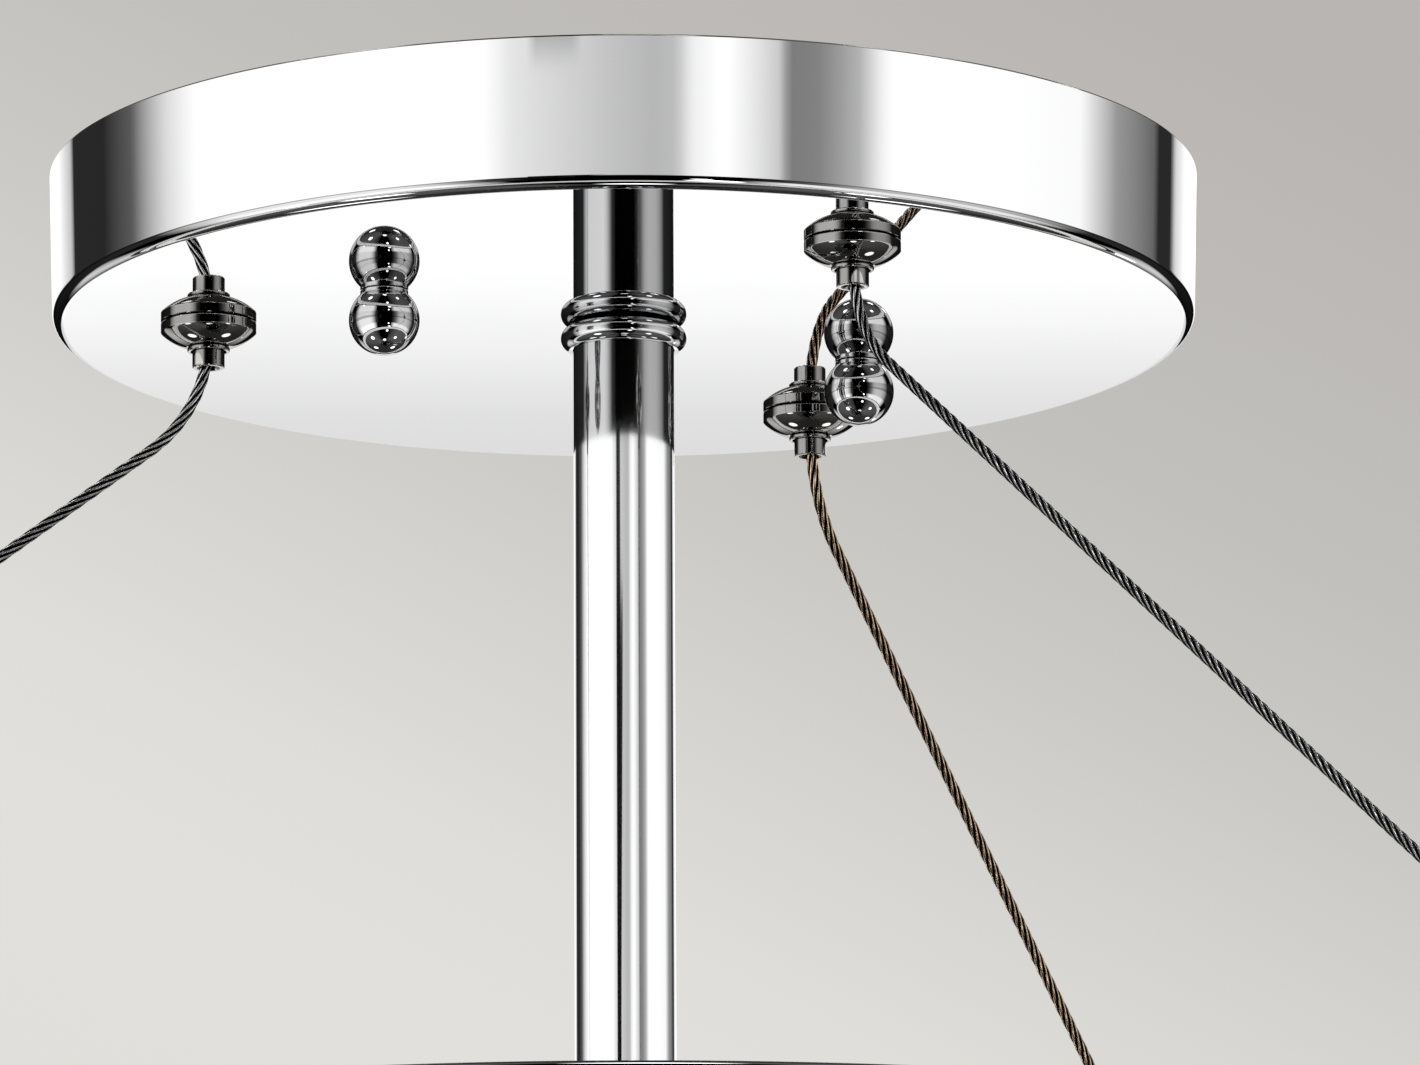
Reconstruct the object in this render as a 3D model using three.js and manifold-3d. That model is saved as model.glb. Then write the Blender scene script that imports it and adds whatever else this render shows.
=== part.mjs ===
// Ceiling light: a polished canopy with a down tube that carries a lamp pan, and splayed wire ropes that
// carry a rim ring with an opal glass dish. Millimetres, +Z up, origin where the tube's axis meets the ceiling.
import * as THREE from "three";
import { mergeVertices } from "three/addons/utils/BufferGeometryUtils.js";
import Module from "manifold-3d";

const wasm = await Module();
wasm.setup();

// Clearances and modelling overrun
const seatGap = 0.1;
const boreGap = 0.3;
const overrun = 2;

// Canopy
const canopyRadius = 89;
const canopyHeight = 23.5;
const canopyTaper = 0.5;
const canopyCorner = 2.6;
const canopySheet = 1;

// Mounting plate inside the canopy
const plateThickness = 2.5;
const plateWidth = 20;
const plateReach = 52;
const plateSink = 0.4;
const slotWidth = 5.5;
const slotInner = 24;
const slotOuter = 46;

// Ball nuts, their studs and the nuts that lock the studs
const ballSpread = 43.7;
const ballRadius = 5.45;
const ballNeckRadius = 3.7;
const ballDrop = 4.7;
const studRadius = 2;
const studReach = 6.2;
const studTipRoom = 0.8;
const studNutFlats = 8;
const studNutHeight = 3.2;

// Down tube with its collar, bushes, nipples and lock nuts
const tubeRadius = 7.8;
const tubeWall = 1;
const collarRadius = 9.75;
const collarHeight = 3.7;
const bushLength = 12;
const bushInset = 0.5;
const nippleRadius = 4.9;
const nippleBore = 3.6;
const lockNutFlats = 16;
const lockNutHeight = 3.6;

// Cable grips
const gripCount = 3;
const gripSpread = 64.3;
const gripStartAngle = Math.PI / 6;
const flangeRadius = 7.4;
const flangeRim = 1.6;
const flangeDome = 2.2;
const flangeDomeBulge = 0.3;
const flangeNoseRadius = 3.2;
const flangeEdge = 0.25;
const barrelRadius = 4.6;
const barrelBore = 3.4;
const barrelReach = 13;
const gripNutFlats = 13;
const gripNutHeight = 3.2;
const gripRingRadius = 3.3;
const gripRingHeight = 0.6;
const plungerRadius = 2.5;
const plungerReach = 7.2;
const plungerHeadRadius = 3;
const plungerHeadHeight = 1.2;
const plungerHeadBase = 1;
const plungerMouthFlare = 0.5;
const plungerMouthDepth = 2.2;
const springWire = 0.6;
const springTurns = 4;
const jawHeight = 4.2;
const jawTipRadius = 2.5;
const jawSlotWidth = 0.6;
const jawSlotShare = 0.7;
const gripCapHeight = 1.6;

// Wire ropes
const ropeRadius = 1;
const ropeTail = 2;
const ropeLeave = 2.5;
const ropeSlopeOut = 1.355;
const ropeBendRadius = 22.4;

// Rope bosses on the rim ring, each with a grub screw
const bossRadius = 4.6;
const bossLength = 18;
const bossEdge = 0.8;
const bossBoreFloor = 9;
const grubRadius = 1.5;
const grubLength = 3;
const grubStation = 6;
const grubHexFlats = 1.5;
const grubHexDepth = 1.4;

// Lamp pan with lampholders and lamps
const panRadius = 201;
const panDrop = 156;
const panDepth = 22;
const panSheet = 1.2;
const panCorner = 4;
const panBead = 1.6;
const holderCount = 3;
const holderSpread = 105;
const holderStartAngle = Math.PI / 2;
const holderRadius = 14;
const holderFlangeRadius = 19;
const holderFlangeHeight = 3;
const holderHeight = 30;
const holderBore = 7.2;
const holderFloor = 6;
const lampRadius = 22.5;
const lampCapRadius = 6.8;
const lampCapLength = 20;
const lampNeckRadius = 11;
const lampLength = 72;

// Rim ring and the glass dish that lies in it
const ringDrop = 190;
const ringHalfWidth = 10;
const ringHeight = 8;
const ringEdge = 2;
const ledgeWidth = 8;
const ledgeDepth = 5;
const gasketHeight = 0.8;
const glassThickness = 4;
const glassLip = 7;
const dishDepth = 90;

// Terminal block and earth screw under the plate
const blockAcross = 12;
const blockLength = 26;
const blockHeight = 10;
const blockStation = 22;
const blockBore = 1.8;
const blockPitch = 8;
const blockScrewRadius = 1.5;
const blockScrewHead = 2.6;
const blockScrewHeadHeight = 1.4;
const earthRadius = 2;
const earthHeadRadius = 4;
const earthHeadHeight = 2.4;
const earthSlotWidth = 0.9;

// Facet counts
const wideSides = 48;
const roundSides = 20;
const smallSides = 10;
const springSides = 5;
const springSteps = 8;
const ropeSides = 8;
const ropeSteps = 56;
const dishSteps = 7;
const ballSteps = 7;
const domeSteps = 3;
const cornerSteps = 2;

// Levels and places that follow from the sizes above
const seatZ = -canopyHeight;
const plateZ = -plateThickness;
const panZ = seatZ - panDrop;
const ringZ = seatZ - ringDrop;
const ropeTilt = Math.atan(ropeSlopeOut);
const ringRadius = ropeRadiusAt(ringDrop);
const ledgeOuter = ringRadius - ringHalfWidth;
const ledgeInner = ledgeOuter - ledgeWidth;
const ledgeZ = ringZ - ledgeDepth;

// Distance of a rope's straight stretch from the tube's axis, at a drop below the seat.
function ropeRadiusAt(drop) {
  const bendDrop = ropeLeave + ropeBendRadius * Math.tan(ropeTilt / 2);
  return gripSpread + (drop - bendDrop) * ropeSlopeOut;
}

// Finishes
const finish = {
  chrome: new THREE.MeshStandardMaterial({ color: 0xe8e8ea, roughness: 0.04, metalness: 1 }),
  gripChrome: new THREE.MeshStandardMaterial({ color: 0x9c9a98, roughness: 0.12, metalness: 1 }),
  rope: new THREE.MeshStandardMaterial({ color: 0x8f8578, roughness: 0.35, metalness: 1 }),
  zinc: new THREE.MeshStandardMaterial({ color: 0xb9bcc0, roughness: 0.45, metalness: 1 }),
  brass: new THREE.MeshStandardMaterial({ color: 0xc9a55a, roughness: 0.35, metalness: 1 }),
  nylon: new THREE.MeshStandardMaterial({ color: 0xeceae2, roughness: 0.5, metalness: 0 }),
  ceramic: new THREE.MeshStandardMaterial({ color: 0xf4f2ec, roughness: 0.25, metalness: 0 }),
  lampGlass: new THREE.MeshStandardMaterial({ color: 0xfbf8f0, roughness: 0.3, metalness: 0 }),
  opalGlass: new THREE.MeshStandardMaterial({ color: 0xf7f6f2, roughness: 0.15, metalness: 0 }),
  felt: new THREE.MeshStandardMaterial({ color: 0xdedbd2, roughness: 0.9, metalness: 0 }),
};

const light = new THREE.Group();

function place(name, geometry, material, x = 0, y = 0, z = 0) {
  const mesh = new THREE.Mesh(geometry, material);
  mesh.name = name;
  mesh.position.set(x, y, z);
  light.add(mesh);
  return mesh;
}

// Revolve an outline of [radius, height] points about the Z axis.
function turned(outline, sides = roundSides) {
  const points = outline.map(([radius, height]) => new THREE.Vector2(radius, height));
  const geometry = new THREE.LatheGeometry(points, sides);
  geometry.rotateX(Math.PI / 2);
  return solid(toManifold(geometry));
}

// A ring or tube: a closed outline away from the axis.
function turnedRing(outline, sides = roundSides) {
  return turned([...outline, outline[0]], sides);
}

function tubePiece(outer, inner, low, high, sides = roundSides) {
  return turnedRing([[inner, low], [outer, low], [outer, high], [inner, high]], sides);
}

function rod(radius, low, high, sides = smallSides) {
  return turned([[0, low], [radius, low], [radius, high], [0, high]], sides);
}

// Points of an arc about (cx, cz) from one angle to another.
function arcPoints(cx, cz, radius, from, to, steps = cornerSteps) {
  const points = [];
  for (let i = 0; i <= steps; i += 1) {
    const angle = from + ((to - from) * i) / steps;
    points.push([cx + radius * Math.cos(angle), cz + radius * Math.sin(angle)]);
  }
  return points;
}

// Points from one place to another along a shallow curve that stands out to the right of its chord.
function bulgePoints([r0, z0], [r1, z1], bulge, steps = domeSteps) {
  const chord = Math.hypot(r1 - r0, z1 - z0);
  const points = [];
  for (let i = 0; i <= steps; i += 1) {
    const t = i / steps;
    const out = (bulge * (1 - (2 * t - 1) ** 2)) / chord;
    points.push([r0 + (r1 - r0) * t + (z1 - z0) * out, z0 + (z1 - z0) * t - (r1 - r0) * out]);
  }
  return points;
}

function toManifold(geometry) {
  const bare = geometry.index ? geometry.toNonIndexed() : geometry.clone();
  bare.deleteAttribute("normal");
  bare.deleteAttribute("uv");
  const merged = mergeVertices(bare);
  const vertices = new Float32Array(merged.attributes.position.array);
  const corners = merged.index.array;
  const triangles = [];
  for (let i = 0; i < corners.length; i += 3) {
    const [a, b, c] = [corners[i], corners[i + 1], corners[i + 2]];
    if (a !== b && b !== c && c !== a) triangles.push(a, b, c);
  }
  const body = new wasm.Manifold(
    new wasm.Mesh({ numProp: 3, vertProperties: vertices, triVerts: new Uint32Array(triangles) }),
  );
  if (body.volume() >= 0) return body;
  const flipped = new Uint32Array(triangles.length);
  for (let i = 0; i < triangles.length; i += 3) {
    flipped.set([triangles[i], triangles[i + 2], triangles[i + 1]], i);
  }
  return new wasm.Manifold(new wasm.Mesh({ numProp: 3, vertProperties: vertices, triVerts: flipped }));
}

function solid(body) {
  const mesh = body.getMesh();
  const geometry = new THREE.BufferGeometry();
  geometry.setAttribute("position", new THREE.BufferAttribute(new Float32Array(mesh.vertProperties), 3));
  geometry.setIndex(new THREE.BufferAttribute(new Uint32Array(mesh.triVerts), 1));
  return geometry;
}

function cut(geometry, ...tools) {
  return solid(tools.reduce((body, tool) => body.subtract(toManifold(tool)), toManifold(geometry)));
}

function join(...parts) {
  return solid(parts.map(toManifold).reduce((body, part) => body.add(part)));
}

function moved(geometry, x, y, z = 0) {
  return geometry.clone().translate(x, y, z);
}

// A flat outline pushed up from one level to another.
function slab(shape, low, high, curveSegments = smallSides) {
  const depth = high - low;
  return new THREE.ExtrudeGeometry(shape, { depth, bevelEnabled: false, curveSegments }).translate(0, 0, low);
}

function hexShape(flats) {
  const corner = flats / Math.sqrt(3);
  const points = [];
  for (let i = 0; i < 6; i += 1) {
    const angle = (i * Math.PI) / 3;
    points.push(new THREE.Vector2(corner * Math.cos(angle), corner * Math.sin(angle)));
  }
  return new THREE.Shape(points);
}

function hexNut(flats, bore, low, high) {
  return cut(slab(hexShape(flats), low, high), rod(bore, low - overrun, high + overrun));
}

// A strap with round ends that runs along X or Y through the origin.
function strapShape(from, to, width, alongY = false) {
  const half = width / 2;
  const shape = new THREE.Shape();
  if (alongY) {
    shape.moveTo(half, from + half);
    shape.lineTo(half, to - half);
    shape.absarc(0, to - half, half, 0, Math.PI, false);
    shape.lineTo(-half, from + half);
    shape.absarc(0, from + half, half, Math.PI, 2 * Math.PI, false);
  } else {
    shape.moveTo(from + half, -half);
    shape.lineTo(to - half, -half);
    shape.absarc(to - half, 0, half, -Math.PI / 2, Math.PI / 2, false);
    shape.lineTo(from + half, half);
    shape.absarc(from + half, 0, half, Math.PI / 2, (3 * Math.PI) / 2, false);
  }
  return shape;
}

function ringPlaces(count, radius, start) {
  return Array.from({ length: count }, (_, i) => {
    const angle = start + (2 * Math.PI * i) / count;
    return { index: i + 1, angle, x: radius * Math.cos(angle), y: radius * Math.sin(angle) };
  });
}

const gripPlaces = ringPlaces(gripCount, gripSpread, gripStartAngle);
const ballPlaces = ringPlaces(2, ballSpread, 0);

// Canopy pan: a pressed dish with its floor down, pierced for the nipple, the studs and the grips.
function canopyPan() {
  const wallBottom = canopyRadius - canopyTaper;
  const innerCorner = canopyCorner - canopySheet;
  const cornerR = wallBottom - canopyCorner;
  const cornerZ = seatZ + canopyCorner;
  const shell = turned([
    [0, seatZ],
    ...arcPoints(cornerR, cornerZ, canopyCorner, -Math.PI / 2, 0),
    [canopyRadius, 0],
    [canopyRadius - canopySheet, 0],
    ...arcPoints(cornerR, cornerZ, innerCorner, 0, -Math.PI / 2),
    [0, seatZ + canopySheet],
  ], wideSides);
  const low = seatZ - overrun;
  const high = seatZ + canopySheet + overrun;
  const holes = [
    rod(nippleRadius + boreGap, low, high),
    ...ballPlaces.map(({ x, y }) => moved(rod(studRadius + boreGap, low, high), x, y)),
    ...gripPlaces.map(({ x, y }) => moved(rod(barrelRadius + boreGap, low, high), x, y)),
  ];
  return cut(shell, ...holes);
}
place("canopy_pan", canopyPan(), finish.chrome);

// Mounting plate: two crossed straps in one pressing, with box slots along Y and the studs along X.
function mountingPlate() {
  const cross = join(
    slab(strapShape(-plateReach, plateReach, plateWidth), plateZ, 0),
    slab(strapShape(-plateReach, plateReach, plateWidth, true), plateZ, 0),
  );
  const low = plateZ - overrun;
  const slots = [[slotInner, slotOuter], [-slotOuter, -slotInner]].map(([from, to]) =>
    slab(strapShape(from, to, slotWidth, true), low, overrun));
  return cut(
    cross,
    ...slots,
    rod(nippleRadius + boreGap, low, overrun),
    ...ballPlaces.map(({ x, y }) => moved(rod(studRadius + boreGap, low, overrun), x, y)),
    moved(rod(earthRadius + boreGap, low, overrun), -blockStation, 0),
    moved(rod(blockScrewRadius + boreGap, low, overrun), blockStation, 0),
  );
}
place("mounting_plate", mountingPlate(), finish.zinc);

// Studs, their lock nuts and the ball nuts that hold the canopy up.
const studTipZ = seatZ - studReach;
const sideNames = ["right", "left"];
ballPlaces.forEach(({ x, y }, i) => {
  const side = sideNames[i];
  place(`canopy_stud_${side}`, rod(studRadius, studTipZ, -plateSink), finish.zinc, x, y);
  const nutTop = plateZ - seatGap;
  const nut = hexNut(studNutFlats, studRadius + boreGap, nutTop - studNutHeight, nutTop);
  place(`stud_nut_${side}`, nut, finish.zinc, x, y);
  place(`ball_nut_${side}`, ballNut(), finish.chrome, x, y, seatZ);
});

function ballNut() {
  const neckAngle = Math.acos(ballNeckRadius / ballRadius);
  const bore = studRadius + boreGap;
  const boreFloor = -(studReach + studTipRoom);
  return turned([
    [0, -ballDrop - ballRadius],
    ...arcPoints(0, -ballDrop, ballRadius, -Math.PI / 2, neckAngle, ballSteps).slice(1),
    [ballNeckRadius, -seatGap],
    [bore, -seatGap],
    [bore, boreFloor],
    [0, boreFloor],
  ]);
}

// Centre: nipple through plate and canopy, lock nuts, collar bead, bush and tube.
const tubeTopZ = seatZ - seatGap;
const tubeBottomZ = panZ + seatGap;
const bushRadius = tubeRadius - tubeWall - boreGap;
const bushBore = nippleRadius + boreGap;
const topBushZ = tubeTopZ - bushInset;
const lowBushZ = tubeBottomZ + bushInset;

place("top_nipple", tubePiece(nippleRadius, nippleBore, topBushZ - bushLength, -plateSink), finish.brass);
place("plate_lock_nut",
  hexNut(lockNutFlats, bushBore, plateZ - seatGap - lockNutHeight, plateZ - seatGap), finish.brass);
const canopyFloorZ = seatZ + canopySheet;
const canopyNutZ = canopyFloorZ + seatGap;
place("canopy_lock_nut", hexNut(lockNutFlats, bushBore, canopyNutZ, canopyNutZ + lockNutHeight), finish.brass);
place("top_bush", tubePiece(bushRadius, bushBore, topBushZ - bushLength, topBushZ), finish.brass);
place("down_tube", tubePiece(tubeRadius, tubeRadius - tubeWall, tubeBottomZ, tubeTopZ), finish.chrome);
place("low_bush", tubePiece(bushRadius, bushBore, lowBushZ, lowBushZ + bushLength), finish.brass);

function collarBead() {
  const bore = tubeRadius + boreGap;
  const half = collarHeight / 2;
  const mid = tubeTopZ - half;
  const belly = arcPoints(0, 0, 1, -Math.PI / 2, Math.PI / 2, 2 * domeSteps)
    .map(([across, up]) => [collarRadius - half + half * across, mid + half * up]);
  return turnedRing([[bore, tubeTopZ], [bore, tubeTopZ - collarHeight], ...belly]);
}
place("tube_collar", collarBead(), finish.chrome);

// Cable grips. Heights are counted from the canopy's seat.
const domeFoot = -seatGap - flangeRim;
const noseZ = domeFoot - flangeDome;
const barrelTop = barrelReach;
const headTop = plungerHeadBase + plungerHeadHeight;
const jawBase = barrelTop - jawHeight - seatGap;
const springLow = headTop + seatGap;
const springHigh = jawBase - seatGap;

// Flange with its shallow dome and the threaded barrel that goes up through the canopy, in one turned piece.
function gripFlange() {
  const low = -seatGap;
  const stemBore = plungerRadius + boreGap;
  const dome = bulgePoints([flangeNoseRadius, noseZ], [flangeRadius, domeFoot], flangeDomeBulge);
  return turnedRing([
    [stemBore, noseZ],
    ...dome,
    [flangeRadius, low],
    [barrelRadius, low],
    [barrelRadius, barrelTop],
    [barrelBore, barrelTop],
    [barrelBore, plungerHeadBase - seatGap],
    [stemBore, plungerHeadBase - seatGap],
  ]);
}

function gripRing() {
  return tubePiece(gripRingRadius, plungerRadius + boreGap, noseZ - seatGap - gripRingHeight, noseZ - seatGap,
    smallSides);
}

function gripPlunger() {
  const bore = ropeRadius + boreGap;
  return turnedRing([
    [bore, plungerMouthDepth - plungerReach],
    [bore + plungerMouthFlare, -plungerReach],
    [plungerRadius - flangeEdge, -plungerReach],
    [plungerRadius, flangeEdge - plungerReach],
    [plungerRadius, plungerHeadBase],
    [plungerHeadRadius, plungerHeadBase],
    [plungerHeadRadius, headTop],
    [bore, headTop],
  ], smallSides);
}

// A slotted cone that bites on the rope.
function gripJaws() {
  const bore = ropeRadius + boreGap;
  const cone = turnedRing([
    [bore, jawBase],
    [jawTipRadius, jawBase],
    [barrelBore - boreGap, barrelTop - seatGap],
    [bore, barrelTop - seatGap],
  ], smallSides);
  const slotTop = jawBase + jawHeight * jawSlotShare;
  const slot = new THREE.BoxGeometry(barrelBore, jawSlotWidth, slotTop - jawBase + overrun);
  slot.translate(barrelBore / 2, 0, (slotTop + jawBase - overrun) / 2);
  const slots = ringPlaces(3, 0, 0).map(({ angle }) => slot.clone().rotateZ(angle));
  return cut(cone, ...slots);
}

// A compression spring: one unbroken tube along a helix.
function gripSpring() {
  const coilRadius = (plungerHeadRadius + ropeRadius + boreGap) / 2;
  const wire = springWire / 2;
  const rise = springHigh - springLow - springWire;
  const sides = springSides;
  const steps = springTurns * springSteps;
  const positions = [];
  const index = [];
  const centreAt = (i) => {
    const turn = (2 * Math.PI * i) / springSteps;
    return new THREE.Vector3(coilRadius * Math.cos(turn), coilRadius * Math.sin(turn),
      springLow + wire + (rise * i) / steps);
  };
  for (let i = 0; i <= steps; i += 1) {
    const turn = (2 * Math.PI * i) / springSteps;
    const centre = centreAt(i);
    const outward = new THREE.Vector3(Math.cos(turn), Math.sin(turn), 0);
    for (let k = 0; k < sides; k += 1) {
      const angle = (2 * Math.PI * k) / sides;
      const point = centre.clone().addScaledVector(outward, wire * Math.cos(angle));
      positions.push(point.x, point.y, point.z + wire * Math.sin(angle));
    }
  }
  for (let i = 0; i < steps; i += 1) {
    for (let k = 0; k < sides; k += 1) {
      const next = (k + 1) % sides;
      const [a, b] = [i * sides + k, i * sides + next];
      index.push(a, a + sides, b, b, a + sides, b + sides);
    }
  }
  for (let k = 1; k < sides - 1; k += 1) {
    index.push(0, k, k + 1);
    index.push(steps * sides, steps * sides + k + 1, steps * sides + k);
  }
  const turnGap = centreAt(0).distanceTo(centreAt(springSteps)) - springWire;
  console.log(`grip spring: least gap between turns ${turnGap.toFixed(2)} mm`);
  const geometry = new THREE.BufferGeometry();
  geometry.setAttribute("position", new THREE.BufferAttribute(new Float32Array(positions), 3));
  geometry.setIndex(index);
  return solid(toManifold(geometry));
}

function gripCap() {
  const low = barrelTop + seatGap;
  return tubePiece(barrelRadius, ropeRadius + boreGap, low, low + gripCapHeight, smallSides);
}

const nutBase = canopySheet + seatGap;
const gripNut = hexNut(gripNutFlats, barrelRadius + boreGap, nutBase, nutBase + gripNutHeight);

// The rope's line in its own radial plane: up in the grip, a bend, then straight down and out to its boss.
class RopeLine extends THREE.Curve {
  constructor(out) {
    super();
    this.out = out;
    this.top = seatZ + barrelTop + gripCapHeight + ropeTail;
    this.bendTop = seatZ - ropeLeave;
    this.upper = this.top - this.bendTop;
    this.bend = ropeBendRadius * ropeTilt;
    const bendRun = ropeBendRadius * (1 - Math.cos(ropeTilt));
    const bendDrop = ropeBendRadius * Math.sin(ropeTilt);
    this.lowerStart = new THREE.Vector2(gripSpread + bendRun, this.bendTop - bendDrop);
    const boreEnd = ringZ + bossBoreFloorUp();
    this.lower = (this.lowerStart.y - boreEnd) / Math.cos(ropeTilt);
    this.total = this.upper + this.bend + this.lower;
  }

  getPoint(t, target = new THREE.Vector3()) {
    const run = t * this.total;
    let radius = gripSpread;
    let height = this.top - run;
    if (run > this.upper + this.bend) {
      const left = run - this.upper - this.bend;
      radius = this.lowerStart.x + left * Math.sin(ropeTilt);
      height = this.lowerStart.y - left * Math.cos(ropeTilt);
    } else if (run > this.upper) {
      const angle = (run - this.upper) / ropeBendRadius;
      radius = gripSpread + ropeBendRadius * (1 - Math.cos(angle));
      height = this.bendTop - ropeBendRadius * Math.sin(angle);
    }
    return target.set(radius * Math.cos(this.out), radius * Math.sin(this.out), height);
  }
}

// Height of the rope's end above the ring, inside the boss.
function bossBoreFloorUp() {
  return bossBoreFloor * Math.cos(ropeTilt);
}

function wireRope(out) {
  const line = new RopeLine(out);
  const section = new THREE.Shape();
  for (let i = 0; i <= ropeSides; i += 1) {
    const angle = (2 * Math.PI * i) / ropeSides;
    const [x, y] = [ropeRadius * Math.cos(angle), ropeRadius * Math.sin(angle)];
    if (i === 0) section.moveTo(x, y);
    else section.lineTo(x, y);
  }
  const extrusion = { steps: ropeSteps, extrudePath: line, bevelEnabled: false };
  return solid(toManifold(new THREE.ExtrudeGeometry(section, extrusion)));
}

// Turn a piece made upright so that it leans back along its rope.
function leaned(geometry, out) {
  return geometry.rotateY(-ropeTilt).rotateZ(out);
}

// A boss welded to the ring, its axis along the rope, cut flat at the ring's face.
function ropeBoss(out) {
  const body = turned([
    [0, -bossLength],
    [bossRadius, -bossLength],
    [bossRadius, bossLength - bossEdge],
    [bossRadius - bossEdge, bossLength],
    [0, bossLength],
  ], smallSides);
  const buried = 4 * bossLength;
  const floor = new THREE.BoxGeometry(buried, buried, buried).translate(0, 0, seatGap - buried / 2);
  const bore = leaned(rod(ropeRadius + boreGap, bossBoreFloor - boreGap, bossLength + overrun), out);
  const crossBore = rod(grubRadius + boreGap, 0, bossRadius + overrun).rotateY(Math.PI / 2)
    .translate(0, 0, bossLength - grubStation);
  return cut(leaned(body, out), floor, bore, leaned(crossBore, out));
}

function grubScrew(out) {
  const screwTop = ropeRadius + boreGap + grubLength;
  const screw = rod(grubRadius, ropeRadius + boreGap, screwTop);
  const socket = slab(hexShape(grubHexFlats), screwTop - grubHexDepth, screwTop + overrun);
  const drilled = cut(screw, socket);
  drilled.rotateY(Math.PI / 2).translate(0, 0, bossLength - grubStation);
  return leaned(drilled, out);
}

gripPlaces.forEach(({ index, angle, x, y }) => {
  place(`grip_flange_${index}`, gripFlange(), finish.gripChrome, x, y, seatZ);
  place(`grip_nut_${index}`, gripNut, finish.zinc, x, y, seatZ);
  place(`grip_ring_${index}`, gripRing(), finish.gripChrome, x, y, seatZ);
  place(`grip_plunger_${index}`, gripPlunger(), finish.gripChrome, x, y, seatZ);
  place(`grip_spring_${index}`, gripSpring(), finish.zinc, x, y, seatZ);
  place(`grip_jaws_${index}`, gripJaws(), finish.brass, x, y, seatZ);
  place(`grip_cap_${index}`, gripCap(), finish.brass, x, y, seatZ);
  place(`wire_rope_${index}`, wireRope(angle), finish.rope);
  const bossX = ringRadius * Math.cos(angle);
  const bossY = ringRadius * Math.sin(angle);
  place(`rope_boss_${index}`, ropeBoss(angle), finish.chrome, bossX, bossY, ringZ);
  place(`grub_screw_${index}`, grubScrew(angle), finish.zinc, bossX, bossY, ringZ);
});

// Lamp pan: a shallow pressed pan, open side down, with a rolled bead at its mouth.
function lampPan() {
  const innerCorner = panCorner - panSheet;
  const cornerR = panRadius - panCorner;
  const cornerZ = panZ - panCorner;
  const mouthZ = panZ - panDepth;
  const beadR = panRadius - panBead;
  const beadZ = mouthZ + panBead;
  const shell = turned([
    [0, panZ - panSheet],
    ...arcPoints(cornerR, cornerZ, innerCorner, Math.PI / 2, 0),
    [panRadius - panSheet, beadZ + panBead],
    ...arcPoints(beadR - panSheet, beadZ, panBead, Math.PI / 2, (3 * Math.PI) / 2),
    ...arcPoints(beadR, beadZ, panBead, -Math.PI / 2, 0),
    ...arcPoints(cornerR, cornerZ, panCorner, 0, Math.PI / 2),
    [0, panZ],
  ], wideSides);
  return cut(shell, rod(nippleRadius + boreGap, panZ - panSheet - overrun, panZ + overrun));
}
place("lamp_pan", lampPan(), finish.chrome);

const lowNutTop = panZ - panSheet - seatGap;
place("pan_nipple", tubePiece(nippleRadius, nippleBore, lowNutTop - lockNutHeight, lowBushZ + bushLength),
  finish.brass);
place("pan_lock_nut", hexNut(lockNutFlats, bushBore, lowNutTop - lockNutHeight, lowNutTop), finish.brass);

// Lampholders and lamps under the pan.
function lampholder() {
  const top = -panSheet - seatGap;
  const mouth = top - holderHeight;
  return turned([
    [0, top - holderFloor],
    [holderBore, top - holderFloor],
    [holderBore, mouth],
    [holderRadius - flangeEdge, mouth],
    [holderRadius, mouth + flangeEdge],
    [holderRadius, top - holderFlangeHeight],
    [holderFlangeRadius, top - holderFlangeHeight],
    [holderFlangeRadius, top],
    [0, top],
  ], roundSides);
}

function lamp() {
  const capTop = -panSheet - seatGap - holderFloor - boreGap;
  const capBottom = capTop - lampCapLength;
  const neckZ = -panSheet - holderHeight - boreGap - seatGap;
  const globeZ = capTop - lampLength + lampRadius;
  const neckAngle = Math.acos(lampNeckRadius / lampRadius);
  return turned([
    [0, capTop],
    [lampCapRadius, capTop],
    [lampCapRadius, capBottom],
    [lampCapRadius, neckZ],
    [lampNeckRadius, neckZ - flangeEdge],
    ...arcPoints(0, globeZ, lampRadius, neckAngle, -Math.PI / 2, ballSteps).slice(0, -1),
    [0, globeZ - lampRadius],
  ]);
}

ringPlaces(holderCount, holderSpread, holderStartAngle).forEach(({ index, x, y }) => {
  place(`lampholder_${index}`, lampholder(), finish.ceramic, x, y, panZ);
  place(`lamp_${index}`, lamp(), finish.lampGlass, x, y, panZ);
});

// Rim ring with its ledge, the felt strip on the ledge and the glass dish.
function rimRing() {
  const outer = ringRadius + ringHalfWidth;
  const bottom = ringZ - ringHeight;
  return turnedRing([
    [ledgeInner, ledgeZ],
    [ledgeInner, bottom],
    ...arcPoints(outer - ringEdge, bottom + ringEdge, ringEdge, -Math.PI / 2, 0),
    ...arcPoints(outer - ringEdge, ringZ - ringEdge, ringEdge, 0, Math.PI / 2),
    [ledgeOuter, ringZ],
    [ledgeOuter, ledgeZ],
  ], wideSides);
}
place("rim_ring", rimRing(), finish.chrome);

const lipOuter = ledgeOuter - boreGap;
const lipInner = lipOuter - glassLip;
const gasketZ = ledgeZ + seatGap;
const gasket = tubePiece(lipOuter, lipInner + boreGap, gasketZ, gasketZ + gasketHeight, wideSides);
place("felt_strip", gasket, finish.felt);

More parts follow.
